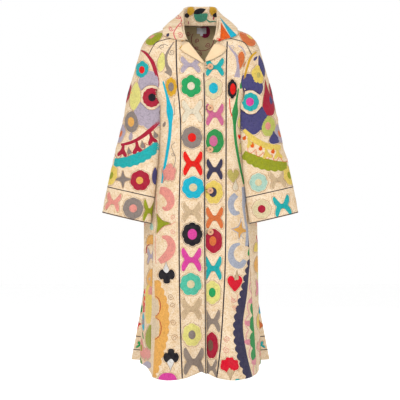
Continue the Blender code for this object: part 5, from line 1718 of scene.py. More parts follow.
def back_embroidery():
    """The back: two strips down the middle, vines beside them, and what shows past the gores."""
    panel = panels()["back"]
    work = Embroidery(panel, "flat")
    for side in (-1, 1):
        for n in range(BACK_STRIP_MOTIFS):
            x, down = side * 37, BACK_STRIP_TOP + BACK_STRIP_PITCH * n
            colour = BACK_COLOURS[(2 * n + (side > 0) * 5) % len(BACK_COLOURS)]
            middle = BACK_COLOURS[(2 * n + 7 + (side > 0)) % len(BACK_COLOURS)]
            if (n + (side > 0)) % 2:
                work.shape(colour, BOW, x, down, 66, 72)
            else:
                work.rosette(Rosette(x, down, 70, 74, 6 + n % 3, 0.09, colour, middle, 27, 0, "tan"))
        for n, (colour, middle) in enumerate(BACK_SIDE_FLOWERS):
            x = side * (112 + 0.5 * 26 * math.sin(2.1 * n) + 4.5 * n)
            down = 120 + 112 * n
            work.rosette(Rosette(x, down, 68, 72, 5 + n % 4, 0.10, colour, middle, 26, 0, "tan"))
            leaf = (x - 34 * side, down + 34, 2), (x - 12 * side, down + 58, 6), (x + 20 * side, down + 66, 3)
            work.stroke("leaf", leaf)
            work.spiral("coral", x + 36 * side, down + 58, 12, 1.7, 100 * n, side)
            work.spiral("taupe", x - 26 * side, down + 74, 9, 1.5, 60 * n, -side)
        work.stroke("ink", ((side * 76, 30, 2), (side * 76, 400, 2), (side * 78, 800, 2), (side * 80, 1034, 2)))
    work.stroke("ink", ((0, 26, 2), (0, 400, 2), (0, 800, 2), (0, 1034, 2)))
    for row in BACK_HEM_ROWS:
        work.ruled("ink", 2.0, row=row)
    for n in range(9):
        work.shape(BACK_COLOURS[(3 * n) % len(BACK_COLOURS)], BOW, -300 + 75 * n, 1098, 50, 26)
    seen = Embroidery(panel, "seen")
    embroider(seen, BACK_SLIVER_MARKS + SHOULDER_MARKS, strokes=BACK_SLIVER_STROKES)
    work.patches += seen.patches
    # Dark ink lines along the seams to the gores: partly embroidered seam lines, partly painted shadow for the valleys
    # at those seams.
    for column in (0, -1):
        work.ruled("ink", 1.8, column=column, inset=2.0, first=0.0, last=0.6)
    lining = Embroidery(panel.reversed(), "seen")
    lining.stroke("wine", arc_line(LINING_VINE))
    lining.stroke("wine", LINING_BLOB)
    for row in LINING_CURLS:
        lining.spiral(row.colour, row.x, row.down, row.radius, row.turns, row.start, row.hand)
    lining.ruled("ink", 1.8, row=SKIRT_ROWS + BACK_ROWS - 2, inset=3.0, first=0.36, last=0.64)
    dress(panel, {"embroidery_back": work, "embroidery_inside_back": lining})


BACK_STRIP_MOTIFS = 12
BACK_STRIP_TOP = 66
BACK_STRIP_PITCH = 86
BACK_COLOURS = (
    "green", "hot_pink", "cyan", "red", "lemon", "navy",
    "mint", "crimson", "marigold", "lavender", "teal", "coral",
    "straw", "olive",
)
BACK_SIDE_FLOWERS = (
    ("crimson", "black"), ("yellow", "olive"), ("teal", "hot_pink"),
    ("coral", "grey"), ("violet", "marigold"),
    ("green", "red"), ("lemon", "navy"), ("pink", "cream"), ("cyan", "brown"),
)
BACK_HEM_ROWS = (6, 14)
SHOULDER_MARKS = (
    Mark(LEAF, -156, 32, 36, 68, 58, "olive", "tan"),
    Mark(LEAF, -162, 27, 14, 34, 58, "coral", None),
    Mark(LEAF, 160, 33, 36, 70, -52, "orange", "tan"),
    Mark(LEAF, 167, 28, 15, 34, -52, "yellow", None),
)
LINING_VINE = Arc(8, 36, 38, 38, 215, -10, 1.2)
LINING_BLOB = ((12, -14, 6), (20, 4, 14), (18, 20, 12), (4, 22, 6))
LINING_CURLS = (
    Curl("wine", -40, 16, 7, 1.5, 0, 1), Curl("wine", -10, 40, 8, 1.6, 90, 1),
    Curl("wine", 26, 54, 9, 1.6, 180, -1),
    Curl("wine", -2, 84, 8, 1.6, 270, 1), Curl("wine", -12, 66, 6, 1.4, 0, -1),
)


def collar_embroidery():
    """The collar: a vine on one leaf, a blue and orange wedge on the other, flowers inside the stand."""
    work = Embroidery(panels()["collar"], "seen")
    embroider(work, COLLAR_MARKS, COLLAR_ROSETTES, COLLAR_STROKES, COLLAR_CURLS)
    dress(work.panel, {"embroidery_collar": work})


def lapel_edging():
    """The thin lines beside the lapels' folds."""
    for name, rows in (("right", LAPEL_RIGHT_EDGING), ("left", LAPEL_LEFT_EDGING)):
        edging = Embroidery(panels()[f"lapel_{name}"], "seen")
        for colour, points in rows:
            edging.stroke(colour, points)
        dress(edging.panel, {f"embroidery_lapel_{name}": edging})


COLLAR_MARKS = (
    Mark(WEDGE, 79, 10, 44, 66, -15, "tangerine", None),
    Mark(WEDGE, 92, -5, 23, 88, -36, "cyan", None),
    Mark(LEAF, -32, -62, 36, 26, 100, "gold", "tan"),
    Mark(LEAF, 44, -62, 36, 26, 80, "gold", "tan"),
    Mark(LEAF, -2, -60, 22, 44, 70, "black", None),
    Mark(HALF_ROUND, 2, -38, 46, 30, 180, "jade", "tan"),
    Mark(LEAF, -110, 20, 10, 14, 30, "navy", None),
    Mark(DROP, -118, 26, 12, 8, 40, "coral", None),
    Mark(DROP, 62, 42, 18, 22, 200, "red", None),
    Mark(DROP, 82, 50, 12, 12, 0, "scarlet", None),
    Mark(DROP, -60, 46, 10, 16, 180, "marigold", None),
)
COLLAR_ROSETTES = (
    Rosette(-45, -46, 17, 17, 5, 0.05, "black", None, 0, 0, None),
    Rosette(50, -48, 17, 17, 5, 0.05, "black", None, 0, 0, None),
)
COLLAR_STROKES = (
    ("carmine", (
        (-70, -46, 1.6), (-64, -28, 1.6), (-78, -8, 1.8),
        (-90, 14, 1.8), (-84, 34, 1.8), (-78, 46, 1.5),
    )),
    ("jade", ((20, -34, 3), (34, -24, 3), (46, -26, 2), (56, -24, 1))),
    ("wine", ((-40, -28, 2), (-40, -14, 1.4))),
    ("crimson", ((46, -42, 3), (44, -30, 2.4))),
)
COLLAR_CURLS = (
    Curl("carmine", -76, -42, 9, 1.5, 0, 1), Curl("carmine", -68, -12, 7, 1.4, 0, -1),
    Curl("carmine", -68, 22, 10, 1.6, 200, 1), Curl("carmine", -99, 0, 8, 1.5, 0, 1),
    Curl("coral", -104, -6, 5, 1.4, 180, -1),
)
LAPEL_RIGHT_EDGING = (
    ("gold", ((-70, 72, 3), (-58, 84, 3), (-40, 95, 2.2), (-20, 108, 1.8), (2, 121, 1.5))),
    ("gold", ((-66, 52, 4), (-70, 62, 4), (-72, 72, 3))),
)
LAPEL_LEFT_EDGING = (("jade", ((90, 76, 1), (66, 96, 1), (38, 112, 1.2), (20, 122, 1.2))),)


def add(tree, kind, inputs=None, **settings):
    """A node with its settings and inputs: a value is set on the socket, a socket is linked to it."""
    node = tree.nodes.new(kind)
    for name, value in settings.items():
        setattr(node, name, value)
    for name, value in (inputs or {}).items():
        if isinstance(value, bpy.types.NodeSocket):
            tree.links.new(value, node.inputs[name])
        else:
            node.inputs[name].default_value = value
    return node


def calc(tree, operation, *values):
    """The result of one Math node."""
    return add(tree, "ShaderNodeMath", dict(enumerate(values)), operation=operation).outputs[0]


def tone(name, *shares):
    """One of the settings' colours, each channel by its share."""
    channels = getattr(bpy.context.scene.coat_colours, name)
    return [channel * share for channel, share in zip(channels, shares or (1, 1, 1))]


def tint(tree, share, first, second, blend="MIX"):
    """Two colours mixed by a share, each a socket or red, green and blue as the eye sees them."""
    first, second = (
        value if isinstance(value, bpy.types.NodeSocket) else (*(DYE_STRENGTH * linear(c) for c in value), 1.0)
        for value in (first, second)
    )
    return add(tree, "ShaderNodeMix", {0: share, 6: first, 7: second}, data_type="RGBA", blend_type=blend).outputs[2]


def new_group(name, inputs, outputs):
    """An empty node group with named inputs and outputs."""
    group = bpy.data.node_groups.new(name, "ShaderNodeTree")
    for title, kind, value in inputs:
        socket = group.interface.new_socket(title, in_out="INPUT", socket_type="NodeSocket" + kind)
        if value is not None:
            socket.default_value = value
    for title, kind in outputs:
        group.interface.new_socket(title, in_out="OUTPUT", socket_type="NodeSocket" + kind)
    return group, group.nodes.new("NodeGroupInput").outputs, group.nodes.new("NodeGroupOutput").inputs


def chain_stitch_group():
    """Rows of chain stitch: x runs along a row and y across the rows, both in metres."""
    group, given, result = new_group(
        "chain stitch",
        (("Place", "Vector", None), ("Row Width", "Float", 0.0018), ("Link Length", "Float", 0.0032)),
        (("Height", "Float"), ("Shade", "Float")),
    )
    parts = add(group, "ShaderNodeSeparateXYZ", {0: given["Place"]}).outputs
    row = calc(group, "DIVIDE", parts["Y"], given["Row Width"])
    row_number = calc(group, "FLOOR", row)
    shift = add(group, "ShaderNodeTexWhiteNoise", {"W": row_number}, noise_dimensions="1D").outputs["Value"]
    link = calc(group, "ADD", calc(group, "DIVIDE", parts["X"], given["Link Length"]), shift)
    off_row = calc(group, "ABSOLUTE", calc(group, "MULTIPLY_ADD", calc(group, "FRACT", row), 2.0, -1.0))
    skewed = calc(group, "MULTIPLY_ADD", off_row, 0.4, link)
    off_link = calc(group, "ABSOLUTE", calc(group, "MULTIPLY_ADD", calc(group, "FRACT", skewed), 2.0, -1.0))
    loft = calc(group, "SUBTRACT", 1.0, calc(group, "POWER", off_row, 2.4))
    swell = calc(group, "SUBTRACT", 1.0, calc(group, "MULTIPLY", calc(group, "POWER", off_link, 3.0), 0.55))
    group.links.new(calc(group, "MULTIPLY", loft, swell), result["Height"])
    whole = add(group, "ShaderNodeCombineXYZ", {0: calc(group, "FLOOR", skewed), 1: row_number}).outputs[0]
    group.links.new(add(group, "ShaderNodeTexWhiteNoise", {"Vector": whole}).outputs["Value"], result["Shade"])
    return group


def wear_and_stitch_shadow_group():
    """Handling marks on cloth: broad patches, small flecks and a fine grain; on the silk the flecks serve as painted
    shadow between the stitches.
    """
    group, given, result = new_group(
        "cloth wear",
        (("Place", "Vector", None), ("Patch Size", "Float", 0.035), ("Fleck Size", "Float", 0.004)),
        (("Patches", "Float"), ("Flecks", "Float")),
    )
    patch_scale = calc(group, "DIVIDE", 1.0, given["Patch Size"])
    patches = add(group, "ShaderNodeTexNoise", {"Vector": given["Place"], "Scale": patch_scale, "Detail": 5.0})
    fleck_scale = calc(group, "DIVIDE", 1.0, given["Fleck Size"])
    flecks = add(group, "ShaderNodeTexNoise", {"Vector": given["Place"], "Scale": fleck_scale, "Detail": 3.0})
    for node, title in ((patches, "Patches"), (flecks, "Flecks")):
        spread = add(
            group, "ShaderNodeMapRange", {"Value": node.outputs[0], "From Min": 0.32, "From Max": 0.68}, clamp=True
        )
        group.links.new(spread.outputs[0], result[title])
    return group


def weave_group():
    """Plain woven threads on Object coordinates or cloth coordinates."""
    group, given, result = new_group(
        "plain weave", (("Place", "Vector", None), ("Thread Width", "Float", 0.0007)), (("Height", "Float"),)
    )
    parts = add(group, "ShaderNodeSeparateXYZ", {0: given["Place"]}).outputs
    turns = calc(group, "DIVIDE", math.pi, given["Thread Width"])
    warp = calc(group, "SINE", calc(group, "MULTIPLY", parts["X"], turns))
    weft = calc(group, "SINE", calc(group, "MULTIPLY", parts["Y"], turns))
    group.links.new(calc(group, "MULTIPLY_ADD", calc(group, "MULTIPLY", warp, weft), 0.5, 0.5), result["Height"])
    return group


def shared_group(name):
    """A node group by name, made the first time that a material needs it."""
    makers = {"chain stitch": chain_stitch_group, "cloth wear": wear_and_stitch_shadow_group, "plain weave": weave_group}
    return bpy.data.node_groups.get(name) or makers[name]()


def place_group(tree, name, **inputs):
    node = add(tree, "ShaderNodeGroup", node_tree=shared_group(name))
    for title, value in inputs.items():
        title = title.replace("_", " ").title()
        if isinstance(value, bpy.types.NodeSocket):
            tree.links.new(value, node.inputs[title])
        else:
            node.inputs[title].default_value = value
    return node.outputs


def new_material(name, roughness, sheen=0.0):
    """A material with its tree and its Principled shader."""
    made = bpy.data.materials.new(name)
    made.use_nodes = True
    shader = made.node_tree.nodes["Principled BSDF"]
    shader.inputs["Roughness"].default_value = roughness
    shader.inputs["Sheen Weight"].default_value = sheen
    shader.inputs["Specular IOR Level"].default_value = 0.08
    return made, made.node_tree, shader


def finish_material(tree, shader, colour, height, depth, strength=0.8):
    tree.links.new(colour, shader.inputs["Base Color"])
    bump = add(tree, "ShaderNodeBump", {"Height": height, "Distance": depth, "Strength": strength})
    tree.links.new(bump.outputs[0], shader.inputs["Normal"])


def shaded(tree, colour, *shades):
    """A colour darkened by masks, each given with its strength; the materials pass painted shade for the stitches'
    grooves beside random tone.
    """
    light = 1.0
    for mask, strength in shades:
        light = calc(tree, "MULTIPLY", calc(tree, "MULTIPLY_ADD", mask, -strength, 1.0), light)
    return add(tree, "ShaderNodeVectorMath", {0: colour, "Scale": light}, operation="SCALE").outputs[0]


def silk_material():
    """Silk thread in chain stitch: its colour and its stitch rows come from the embroidery's attributes."""
    made, tree, shader = new_material("silk_thread", 0.55)
    colour = add(tree, "ShaderNodeAttribute", attribute_name="thread").outputs["Color"]
    stitch = add(tree, "ShaderNodeAttribute", attribute_name="stitch").outputs["Vector"]
    sizes = bpy.context.scene.coat_sizes
    chain = place_group(
        tree, "chain stitch", place=stitch, row_width=sizes.stitch_row, link_length=sizes.stitch_link,
    )
    place = add(tree, "ShaderNodeTexCoord").outputs["Object"]
    wear = place_group(tree, "cloth wear", place=place, patch_size=0.014, fleck_size=0.0045)
    worn = tint(tree, calc(tree, "MULTIPLY", wear["Patches"], 0.03), colour, tone("ground", 0.96, 1.02, 1.14))
    # Painted shade: the silk is darkened in the grooves between the chain stitches, where the bump is low.
    painted_groove_shade = calc(tree, "SUBTRACT", 1.0, chain["Height"])
    # Painted shadow: sparse dark flecks stand for the shadows between the silk's stitches; the broad patches are random
    # mottling.
    flecks = calc(tree, "POWER", wear["Flecks"], 4.0)
    colour = shaded(tree, worn, (painted_groove_shade, 0.34), (chain["Shade"], 0.16), (wear["Patches"], 0.08), (flecks, 0.30))
    finish_material(tree, shader, colour, chain["Height"], 0.0006)
    return made


def ground_material():
    """The cream ground, worked all over in cream chain stitch that wanders, with tea-brown handling marks."""
    made, tree, shader = new_material("ground_cloth", 0.85)
    cloth = add(tree, "ShaderNodeAttribute", attribute_name="cloth").outputs["Vector"]
    drift = add(tree, "ShaderNodeTexNoise", {"Vector": cloth, "Scale": 11.0, "Detail": 1.0}).outputs["Color"]
    drift = add(tree, "ShaderNodeVectorMath", {0: drift, 1: (0.5, 0.5, 0.5)}, operation="SUBTRACT").outputs[0]
    drift = add(tree, "ShaderNodeVectorMath", {0: drift, "Scale": 0.05}, operation="SCALE").outputs[0]
    place = add(tree, "ShaderNodeVectorMath", {0: cloth, 1: drift}, operation="ADD").outputs[0]
    turned_place = add(tree, "ShaderNodeMapping", {"Vector": place, "Rotation": (0, 0, math.radians(90))}).outputs[0]
    chain = place_group(tree, "chain stitch", place=turned_place, row_width=0.0028, link_length=0.0042)
    wear = place_group(tree, "cloth wear", place=cloth, patch_size=0.05, fleck_size=0.006)
    fine = place_group(tree, "cloth wear", place=place, patch_size=0.013, fleck_size=0.0035)
    colour = tint(tree, calc(tree, "MULTIPLY", wear["Patches"], 0.75), tone("ground"), tone("ground", 0.90, 0.83, 0.73))
    colour = tint(tree, calc(tree, "MULTIPLY", fine["Patches"], 0.55), colour, tone("ground", 1.02, 1.07, 1.15))
    colour = tint(tree, calc(tree, "POWER", fine["Flecks"], 2.5), colour, tone("ground", 0.83, 0.75, 0.65))
    # Painted shade: the ground is darkened in the grooves of its chain stitch.
    painted_groove_shade = calc(tree, "SUBTRACT", 1.0, chain["Height"])
    colour = shaded(tree, colour, (painted_groove_shade, 0.16), (chain["Shade"], 0.07))
    finish_material(tree, shader, colour, chain["Height"], 0.0004, 0.7)
    return made


def reverse_material():
    """The inside of the cloth: khaki cotton with the backs of the stitches just showing."""
    made, tree, shader = new_material("reverse_cloth", 0.92)
    cloth = add(tree, "ShaderNodeAttribute", attribute_name="cloth").outputs["Vector"]
    weave = place_group(tree, "plain weave", place=cloth, thread_width=0.0009)
    wear = place_group(tree, "cloth wear", place=cloth, patch_size=0.04, fleck_size=0.005)
    colour = tint(tree, calc(tree, "MULTIPLY", wear["Patches"], 0.5), tone("reverse"), tone("reverse", 0.92, 0.91, 0.90))
    colour = tint(tree, calc(tree, "MULTIPLY", wear["Flecks"], 0.35), colour, tone("reverse", 0.84, 0.82, 0.79))
    finish_material(tree, shader, colour, weave["Height"], 0.0003)
    return made


def facing_material():
    """The lapels' plain cream cotton."""
    made, tree, shader = new_material("facing_cotton", 0.85, sheen=0.15)
    cloth = add(tree, "ShaderNodeAttribute", attribute_name="cloth").outputs["Vector"]
    weave = place_group(tree, "plain weave", place=cloth, thread_width=0.0008)
    wear = place_group(tree, "cloth wear", place=cloth, patch_size=0.03, fleck_size=0.003)
    colour = tint(tree, calc(tree, "MULTIPLY", wear["Patches"], 0.5), tone("facing"), tone("facing", 0.94, 0.91, 0.87))
    colour = tint(tree, calc(tree, "MULTIPLY", wear["Flecks"], 0.3), colour, tone("facing", 0.91, 0.88, 0.87))
    finish_material(tree, shader, colour, weave["Height"], 0.0002)
    return made


def wood_material():
    """Pale turned wood, with growth rings and fine pores."""
    made, tree, shader = new_material("button_wood", 0.5)
    place = add(tree, "ShaderNodeTexCoord").outputs["Object"]
    rings = add(tree, "ShaderNodeTexWave", {"Vector": place, "Scale": 160.0, "Distortion": 3.0, "Detail": 3.0},
                bands_direction="DIAGONAL").outputs["Fac"]
    pores = add(tree, "ShaderNodeTexNoise", {"Vector": place, "Scale": 1400.0, "Detail": 2.0}).outputs[0]
    colour = tint(tree, calc(tree, "MULTIPLY", rings, 0.5), tone("wood"), tone("wood", 0.86, 0.78, 0.73))
    colour = tint(tree, calc(tree, "MULTIPLY", pores, 0.3), colour, tone("wood", 0.70, 0.61, 0.56))
    finish_material(tree, shader, colour, pores, 0.0001)
    return made


def loop_material():
    """Dark thread with two strands twisted together."""
    made, tree, shader = new_material("loop_thread", 0.75, sheen=0.2)
    place = add(tree, "ShaderNodeTexCoord").outputs["Object"]
    twist_with_painted_shade = add(tree, "ShaderNodeTexWave", {"Vector": place, "Scale": 420.0, "Distortion": 0.6},
                bands_direction="DIAGONAL").outputs["Fac"]
    # Painted shade: the thread is darker in the troughs of the twist, where its bump is low.
    colour = tint(tree, twist_with_painted_shade, tone("loops", 0.50, 0.52, 0.59), tone("loops"))
    finish_material(tree, shader, colour, twist_with_painted_shade, 0.0002)
    return made


def label_material():
    """Bare white woven tape."""
    made, tree, shader = new_material("label_tape", 0.7)
    place = add(tree, "ShaderNodeTexCoord").outputs["Object"]
    swapped = add(tree, "ShaderNodeMapping", {"Vector": place, "Rotation": (math.radians(90), 0, 0)}).outputs[0]
    weave = place_group(tree, "plain weave", place=swapped, thread_width=0.0005)
    wear = place_group(tree, "cloth wear", place=place, patch_size=0.01, fleck_size=0.001)
    colour = tint(tree, calc(tree, "MULTIPLY", wear["Patches"], 0.4), tone("tape"), tone("tape", 0.93, 0.93, 0.95))
    colour = tint(tree, calc(tree, "MULTIPLY", weave["Height"], 0.2), colour, tone("tape", 0.86, 0.87, 0.90))
    finish_material(tree, shader, colour, weave["Height"], 0.0002)
    return made


def paper_material():
    """The floor's plain white paper."""
    made, tree, shader = new_material("floor_paper", 0.9)
    shader.inputs["Base Color"].default_value = (0.98, 0.98, 0.98, 1)
    return made


def material(name):
    """A material by name, made the first time that a piece needs it."""
    makers = {
        "silk_thread": silk_material, "ground_cloth": ground_material, "reverse_cloth": reverse_material,
        "facing_cotton": facing_material, "button_wood": wood_material, "loop_thread": loop_material,
        "label_tape": label_material, "floor_paper": paper_material,
    }
    return bpy.data.materials.get(name) or makers[name]()


def button(number, wood, thread):
    """A turned wooden button with a rolled rim, a dished middle and four holes, tied on by crossed thread."""
    r, t = BUTTON_RADIUS, BUTTON_THICKNESS
    z = BUTTON_TOP_Z - number * BUTTON_PITCH
    point, out = front_place(BUTTON_X, z)
    centre = point - out * (float(tuck(BUTTON_X, z)) - 2 * SEAM_GAP)
    profile = (
        (0.0, -SHANK_HEIGHT), (SHANK_RADIUS, -SHANK_HEIGHT), (SHANK_RADIUS, 0.0),
        (r * 0.75, 0.0), (r * 0.92, t * 0.14),
        (r, t * 0.45), (r * 0.99, t * 0.74), (r * 0.93, t * 0.96), (r * 0.85, t), (r * 0.76, t * 0.94),
        (r * 0.70, t * 0.80), (r * 0.62, t * 0.70), (0.0, t * 0.66),
    )
    mesh = bmesh.new()
    verts = [mesh.verts.new((radius, 0, height)) for radius, height in profile]
    edges = [mesh.edges.new(pair) for pair in zip(verts, verts[1:])]
    bmesh.ops.spin(
        mesh, geom=verts + edges, axis=(0, 0, 1), cent=(0, 0, 0), steps=40, angle=2 * math.pi, use_merge=True,
    )
    bmesh.ops.remove_doubles(mesh, verts=mesh.verts, dist=1e-6)
    bmesh.ops.recalc_face_normals(mesh, faces=mesh.faces)
    made = link(f"turned_button_{number + 1}", mesh, [wood])
    for sign_x in (-1, 1):
        for sign_z in (-1, 1):
            bit = bmesh.new()
            bmesh.ops.create_cone(
                bit, cap_ends=True, segments=14, depth=t * 4, radius1=BUTTON_HOLE_RADIUS, radius2=BUTTON_HOLE_RADIUS,
            )
            shift = (sign_x * BUTTON_HOLE_SPACING, sign_z * BUTTON_HOLE_SPACING, t)
            bmesh.ops.translate(bit, verts=bit.verts, vec=shift)
            cutter = link("bit", bit, [wood])
            cut = made.modifiers.new("hole", "BOOLEAN")
            cut.operation = "DIFFERENCE"
            cut.solver = "EXACT"
            cut.object = cutter
            bpy.context.view_layer.objects.active = made
            bpy.ops.object.modifier_apply(modifier="hole")
            bpy.data.objects.remove(cutter, do_unlink=True)
    tie = bmesh.new()
    for turn in (45, -45):
        made_verts = bmesh.ops.create_cone(
            tie, cap_ends=True, segments=10, depth=BUTTON_HOLE_SPACING * 3.0, radius1=0.0005, radius2=0.0005,
        )["verts"]
        bmesh.ops.rotate(tie, verts=made_verts, cent=(0, 0, 0), matrix=Matrix.Rotation(math.radians(90), 3, "X"))
        bmesh.ops.rotate(tie, verts=made_verts, cent=(0, 0, 0), matrix=Matrix.Rotation(math.radians(turn), 3, "Z"))
        bmesh.ops.translate(tie, verts=made_verts, vec=(0, 0, t * 0.70))
    tied = link(f"button_tie_{number + 1}", tie, [thread])
    side = unit(np.cross(np.array([0.0, 0.0, 1.0]), out))
    lift = np.cross(out, side)
    for item in (made, tied):
        for vertex in item.data.vertices:
            x, y, height = vertex.co
            vertex.co = centre + side * x + lift * y + out * (height + SHANK_HEIGHT)
    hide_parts(f"button_{number + 1}")


def loop(number, thread):
    """A twisted thread loop from the right front's edge round the button's shank and back."""
    z = BUTTON_TOP_Z - number * BUTTON_PITCH
    edge = float(straight(RIGHT_EDGE, "z", "x", z)) if z > UNDERARM_Z else LAP
    start_x = edge + SEAM_GAP + LOOP_RADIUS * 0.2
    turns = np.radians(np.linspace(100, -100, 13))
    path = [(start_x, LOOP_HALF_WIDTH * 0.8), (start_x + 0.35 * (BUTTON_X - start_x), LOOP_HALF_WIDTH)]
    path += [(BUTTON_X + LOOP_END_RADIUS * math.cos(a), LOOP_END_RADIUS * math.sin(a)) for a in turns]
    path += [(path[1][0], -path[1][1]), (path[0][0], -path[0][1])]
    path = smooth_line(np.array(path), 0.0005)
    x, height = path[:, 0], z + path[:, 1]
    rise = np.clip((x - start_x) / (BUTTON_X - start_x), 0, 1)
    point, out = front_place(x, height)
    above = LOOP_RADIUS + LOOP_LIFT - tuck(x, height)
    centre = point + out * (-WALL / 2 * (1 - rise) + above * rise)[:, None]
    flat = unit(np.cross(unit(np.gradient(centre, axis=0)), out))
    turn = np.radians(np.arange(0, 360, 30))[None] + np.arange(len(path))[:, None] * STRAND_TURN
    reach = LOOP_RADIUS * (0.84 + 0.16 * np.cos(2 * (turn - turn[:, :1])))
    points = centre[:, None] + (
        out[:, None] * np.sin(turn)[..., None] + flat[:, None] * np.cos(turn)[..., None]
    ) * reach[..., None]
    points = np.concatenate([points, points[:, :1]], 1)
    mesh = bmesh.new()
    made = bmesh.ops.create_grid(mesh, x_segments=points.shape[1] - 1, y_segments=len(path) - 1, size=1)["verts"]
    for vertex, co in zip(made, points.reshape(-1, 3).tolist()):
        vertex.co = co
    bmesh.ops.remove_doubles(mesh, verts=mesh.verts, dist=1e-7)
    bmesh.ops.holes_fill(mesh, edges=mesh.edges, sides=0)
    bmesh.ops.recalc_face_normals(mesh, faces=mesh.faces)
    item = link(f"twisted_loop_{number + 1}", mesh, [thread])
    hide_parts(f"button_loop_{number + 1}")


STRAND_TURN = 0.35


# The cut of each piece of cloth that shows: its width, its length and its flat area, in metres
Cut = namedtuple("Cut", "wide long area")
FLOOR_DROP = 0.25
FLOOR_SIZE = 12.0
LIGHTS = (
    ("key", (-0.9, -3.0, 0.9), 1.2, 50.0), ("fill", (1.6, -3.2, 0.2), 1.6, 18.0),
    ("behind", (0, 3.0, 0.8), 2.0, 40.0),
)


@lru_cache(maxsize=1)
def panels():
    """The grids of every piece of cloth with their creases, worked out once for all the operators."""
    made = make_panels()
    crease_all(made)
    return made


def dress(panel, works):
    """Makes one piece's cloth and its embroidery, by name."""
    kinds = ["facing_cotton" if panel.node.startswith("lapel") else "ground_cloth"]
    kinds.append(kinds[0] if panel.node == "collar" else "reverse_cloth")
    cloth = shell(panel, [material(kind) for kind in kinds], WALL)
    pieces = [work.build(name, [material("silk_thread")]) for name, work in works.items()]


def eight_bit(name, default, description):
    """A colour property, from its red, green and blue out of 255."""
    return bpy.props.FloatVectorProperty(
        name=name, description=description, subtype="COLOR_GAMMA", size=3, min=0, max=1,
        default=[channel / 255 for channel in default],
    )


class CoatSizes(bpy.types.PropertyGroup):
    """Sizes that a user would change."""

    thread_height: bpy.props.FloatProperty(
        name="Thread Height", description="How far the silk stands off the cloth", default=0.0006, min=0.0001,
        max=0.002, unit="LENGTH", precision=4,
    )
    crease_depth: bpy.props.FloatProperty(
        name="Crease Depth", description="The creases' depth beside their own", default=1.0, min=0.0, max=2.0,
        subtype="FACTOR",
    )
    stitch_row: bpy.props.FloatProperty(
        name="Stitch Row", description="Width of one row of chain stitch", default=0.0024, min=0.0008, max=0.006,
        unit="LENGTH", precision=4,
    )
    stitch_link: bpy.props.FloatProperty(
        name="Stitch Length", description="Length of one chain stitch", default=0.0046, min=0.001, max=0.01,
        unit="LENGTH", precision=4,
    )


class CoatColours(bpy.types.PropertyGroup):
    """Colours of the cloths, the buttons, the loops and the label."""

    ground: eight_bit("Ground", (246, 222, 188), "The embroidered cream ground")
    facing: eight_bit("Facing", (236, 208, 168), "The plain lapels")
    reverse: eight_bit("Reverse", (204, 184, 142), "The inside of the cloth")
    wood: eight_bit("Wood", (228, 178, 140), "The turned buttons")
    loops: eight_bit("Loops", (92, 62, 54), "The button loops and the buttons' ties")
    tape: eight_bit("Label", (240, 240, 248), "The bare label")


class CoatThreads(bpy.types.PropertyGroup):
    """Colours of the silk threads, one for each name in THREADS."""

    __annotations__ = {
        name: eight_bit(name.title(), colour, f"Silk thread, {name}") for name, colour in THREADS.items()
    }


class CoatOperator:
    """What every operator of the coat shares: it can be undone, and it builds from the scene's settings."""

    bl_options = {"REGISTER", "UNDO"}

    def execute(self, context):
        self.build()
        return {"FINISHED"}


class COAT_OT_fronts(CoatOperator, bpy.types.Operator):
    """Add the two fronts with their strips, vines and bands"""

    bl_idname = "coat.fronts"
    bl_label = "Fronts"

    def build(self):
        front_embroidery()


class COAT_OT_lapels(CoatOperator, bpy.types.Operator):
    """Add the two plain lapels and their edging"""

    bl_idname = "coat.lapels"
    bl_label = "Lapels"

    def build(self):
        lapel_edging()


class COAT_OT_gores(CoatOperator, bpy.types.Operator):
    """Add the two side gores and their flowers"""

    bl_idname = "coat.gores"
    bl_label = "Side gores"

    def build(self):
        side_embroidery()


class COAT_OT_sleeves(CoatOperator, bpy.types.Operator):
    """Add the two sleeves with their arcs and cuff bands"""

    bl_idname = "coat.sleeves"
    bl_label = "Sleeves"

    def build(self):
        sleeve_embroidery()


class COAT_OT_back(CoatOperator, bpy.types.Operator):
    """Add the back, and the threads that show inside it"""

    bl_idname = "coat.back"
    bl_label = "Back"

    def build(self):
        back_embroidery()


class COAT_OT_collar(CoatOperator, bpy.types.Operator):
    """Add the collar and its embroidery"""

    bl_idname = "coat.collar"
    bl_label = "Collar"

    def build(self):
        collar_embroidery()


class COAT_OT_buttons(CoatOperator, bpy.types.Operator):
    """Add the turned buttons and the threads that tie them on"""

    bl_idname = "coat.buttons"
    bl_label = "Buttons"

    def build(self):
        for number in range(BUTTON_COUNT):
            button(number, material("button_wood"), material("loop_thread"))


class COAT_OT_loops(CoatOperator, bpy.types.Operator):
    """Add the twisted button loops"""

    bl_idname = "coat.loops"
    bl_label = "Button loops"

    def build(self):
        for number in range(BUTTON_COUNT):
            loop(number, material("loop_thread"))


class COAT_OT_label(CoatOperator, bpy.types.Operator):
    """Give the bare label its woven tape"""

    bl_idname = "coat.label"
    bl_label = "Label"

    def build(self):
        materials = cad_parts["label"].data.materials
        materials.clear()
        materials.append(material("label_tape"))


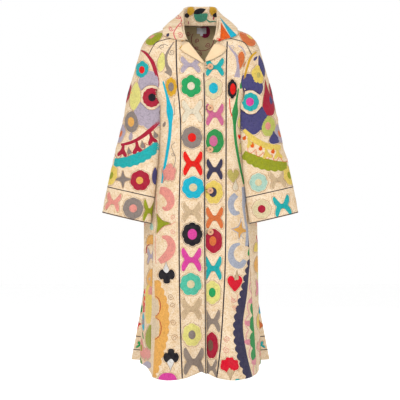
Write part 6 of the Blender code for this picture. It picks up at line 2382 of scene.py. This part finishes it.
class COAT_OT_studio(CoatOperator, bpy.types.Operator):
    """Add the pale floor, the soft lights and the camera at the photograph's view"""

    bl_idname = "coat.studio"
    bl_label = "Studio"

    def build(self):
        scene = bpy.context.scene
        scene.view_settings.view_transform = "Standard"
        mesh = bmesh.new()
        bmesh.ops.create_grid(mesh, x_segments=1, y_segments=1, size=FLOOR_SIZE / 2)
        bmesh.ops.translate(mesh, verts=mesh.verts, vec=(0, 0, HEM_Z - FLOOR_DROP))
        data = bpy.data.meshes.new("floor")
        mesh.to_mesh(data)
        mesh.free()
        data.materials.append(material("floor_paper"))
        floor = bpy.data.objects.new("floor", data)
        scene.collection.objects.link(floor)
        scene.world = scene.world or bpy.data.worlds.new("studio")
        scene.world.use_nodes = True
        sky = scene.world.node_tree.nodes["Background"]
        sky.inputs["Color"].default_value = (1, 1, 1, 1)
        sky.inputs["Strength"].default_value = 1.0
        middle = Vector((0, 0, HEM_Z / 2))
        for name, place, size, power in LIGHTS:
            light = bpy.data.objects.new(name, bpy.data.lights.new(name, "AREA"))
            light.data.size = size
            light.data.energy = power
            light.location = place
            light.rotation_euler = (middle - light.location).to_track_quat("-Z", "Y").to_euler()
            scene.collection.objects.link(light)
        camera = bpy.data.objects.new("camera", bpy.data.cameras.new("camera"))
        camera.data.lens = LENS
        camera.data.sensor_width = SENSOR
        camera.location = (CAMERA_X, -CAMERA_DISTANCE, CAMERA_Z)
        camera.rotation_euler = (math.radians(90), 0, 0)
        scene.collection.objects.link(camera)
        scene.camera = camera


OPERATORS = (
    COAT_OT_fronts, COAT_OT_lapels, COAT_OT_gores, COAT_OT_sleeves,
    COAT_OT_back, COAT_OT_collar, COAT_OT_buttons,
    COAT_OT_loops, COAT_OT_label, COAT_OT_studio,
)
SETTINGS = {"coat_sizes": CoatSizes, "coat_colours": CoatColours, "coat_threads": CoatThreads}


class COAT_PT_panel(bpy.types.Panel):
    """The coat's settings and its pieces, in the 3D view's sidebar"""

    bl_label = "Embroidered Coat"
    bl_space_type = "VIEW_3D"
    bl_region_type = "UI"
    bl_category = "Coat"

    def draw(self, context):
        for name, group in SETTINGS.items():
            box = self.layout.box()
            for title in group.__annotations__:
                box.prop(getattr(context.scene, name), title)
        for kind in OPERATORS:
            self.layout.operator(kind.bl_idname)


def register():
    for kind in (*SETTINGS.values(), *OPERATORS, COAT_PT_panel):
        bpy.utils.register_class(kind)
    for name, kind in SETTINGS.items():
        setattr(bpy.types.Scene, name, bpy.props.PointerProperty(type=kind))


def unregister():
    for name in SETTINGS:
        delattr(bpy.types.Scene, name)
    for kind in (COAT_PT_panel, *reversed(OPERATORS), *SETTINGS.values()):
        bpy.utils.unregister_class(kind)


def main():
    """Registers the classes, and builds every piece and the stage."""
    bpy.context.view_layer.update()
    register()
    for kind in OPERATORS:
        getattr(bpy.ops.coat, kind.bl_idname.split(".")[1])()


if __name__ == "__main__":
    main()
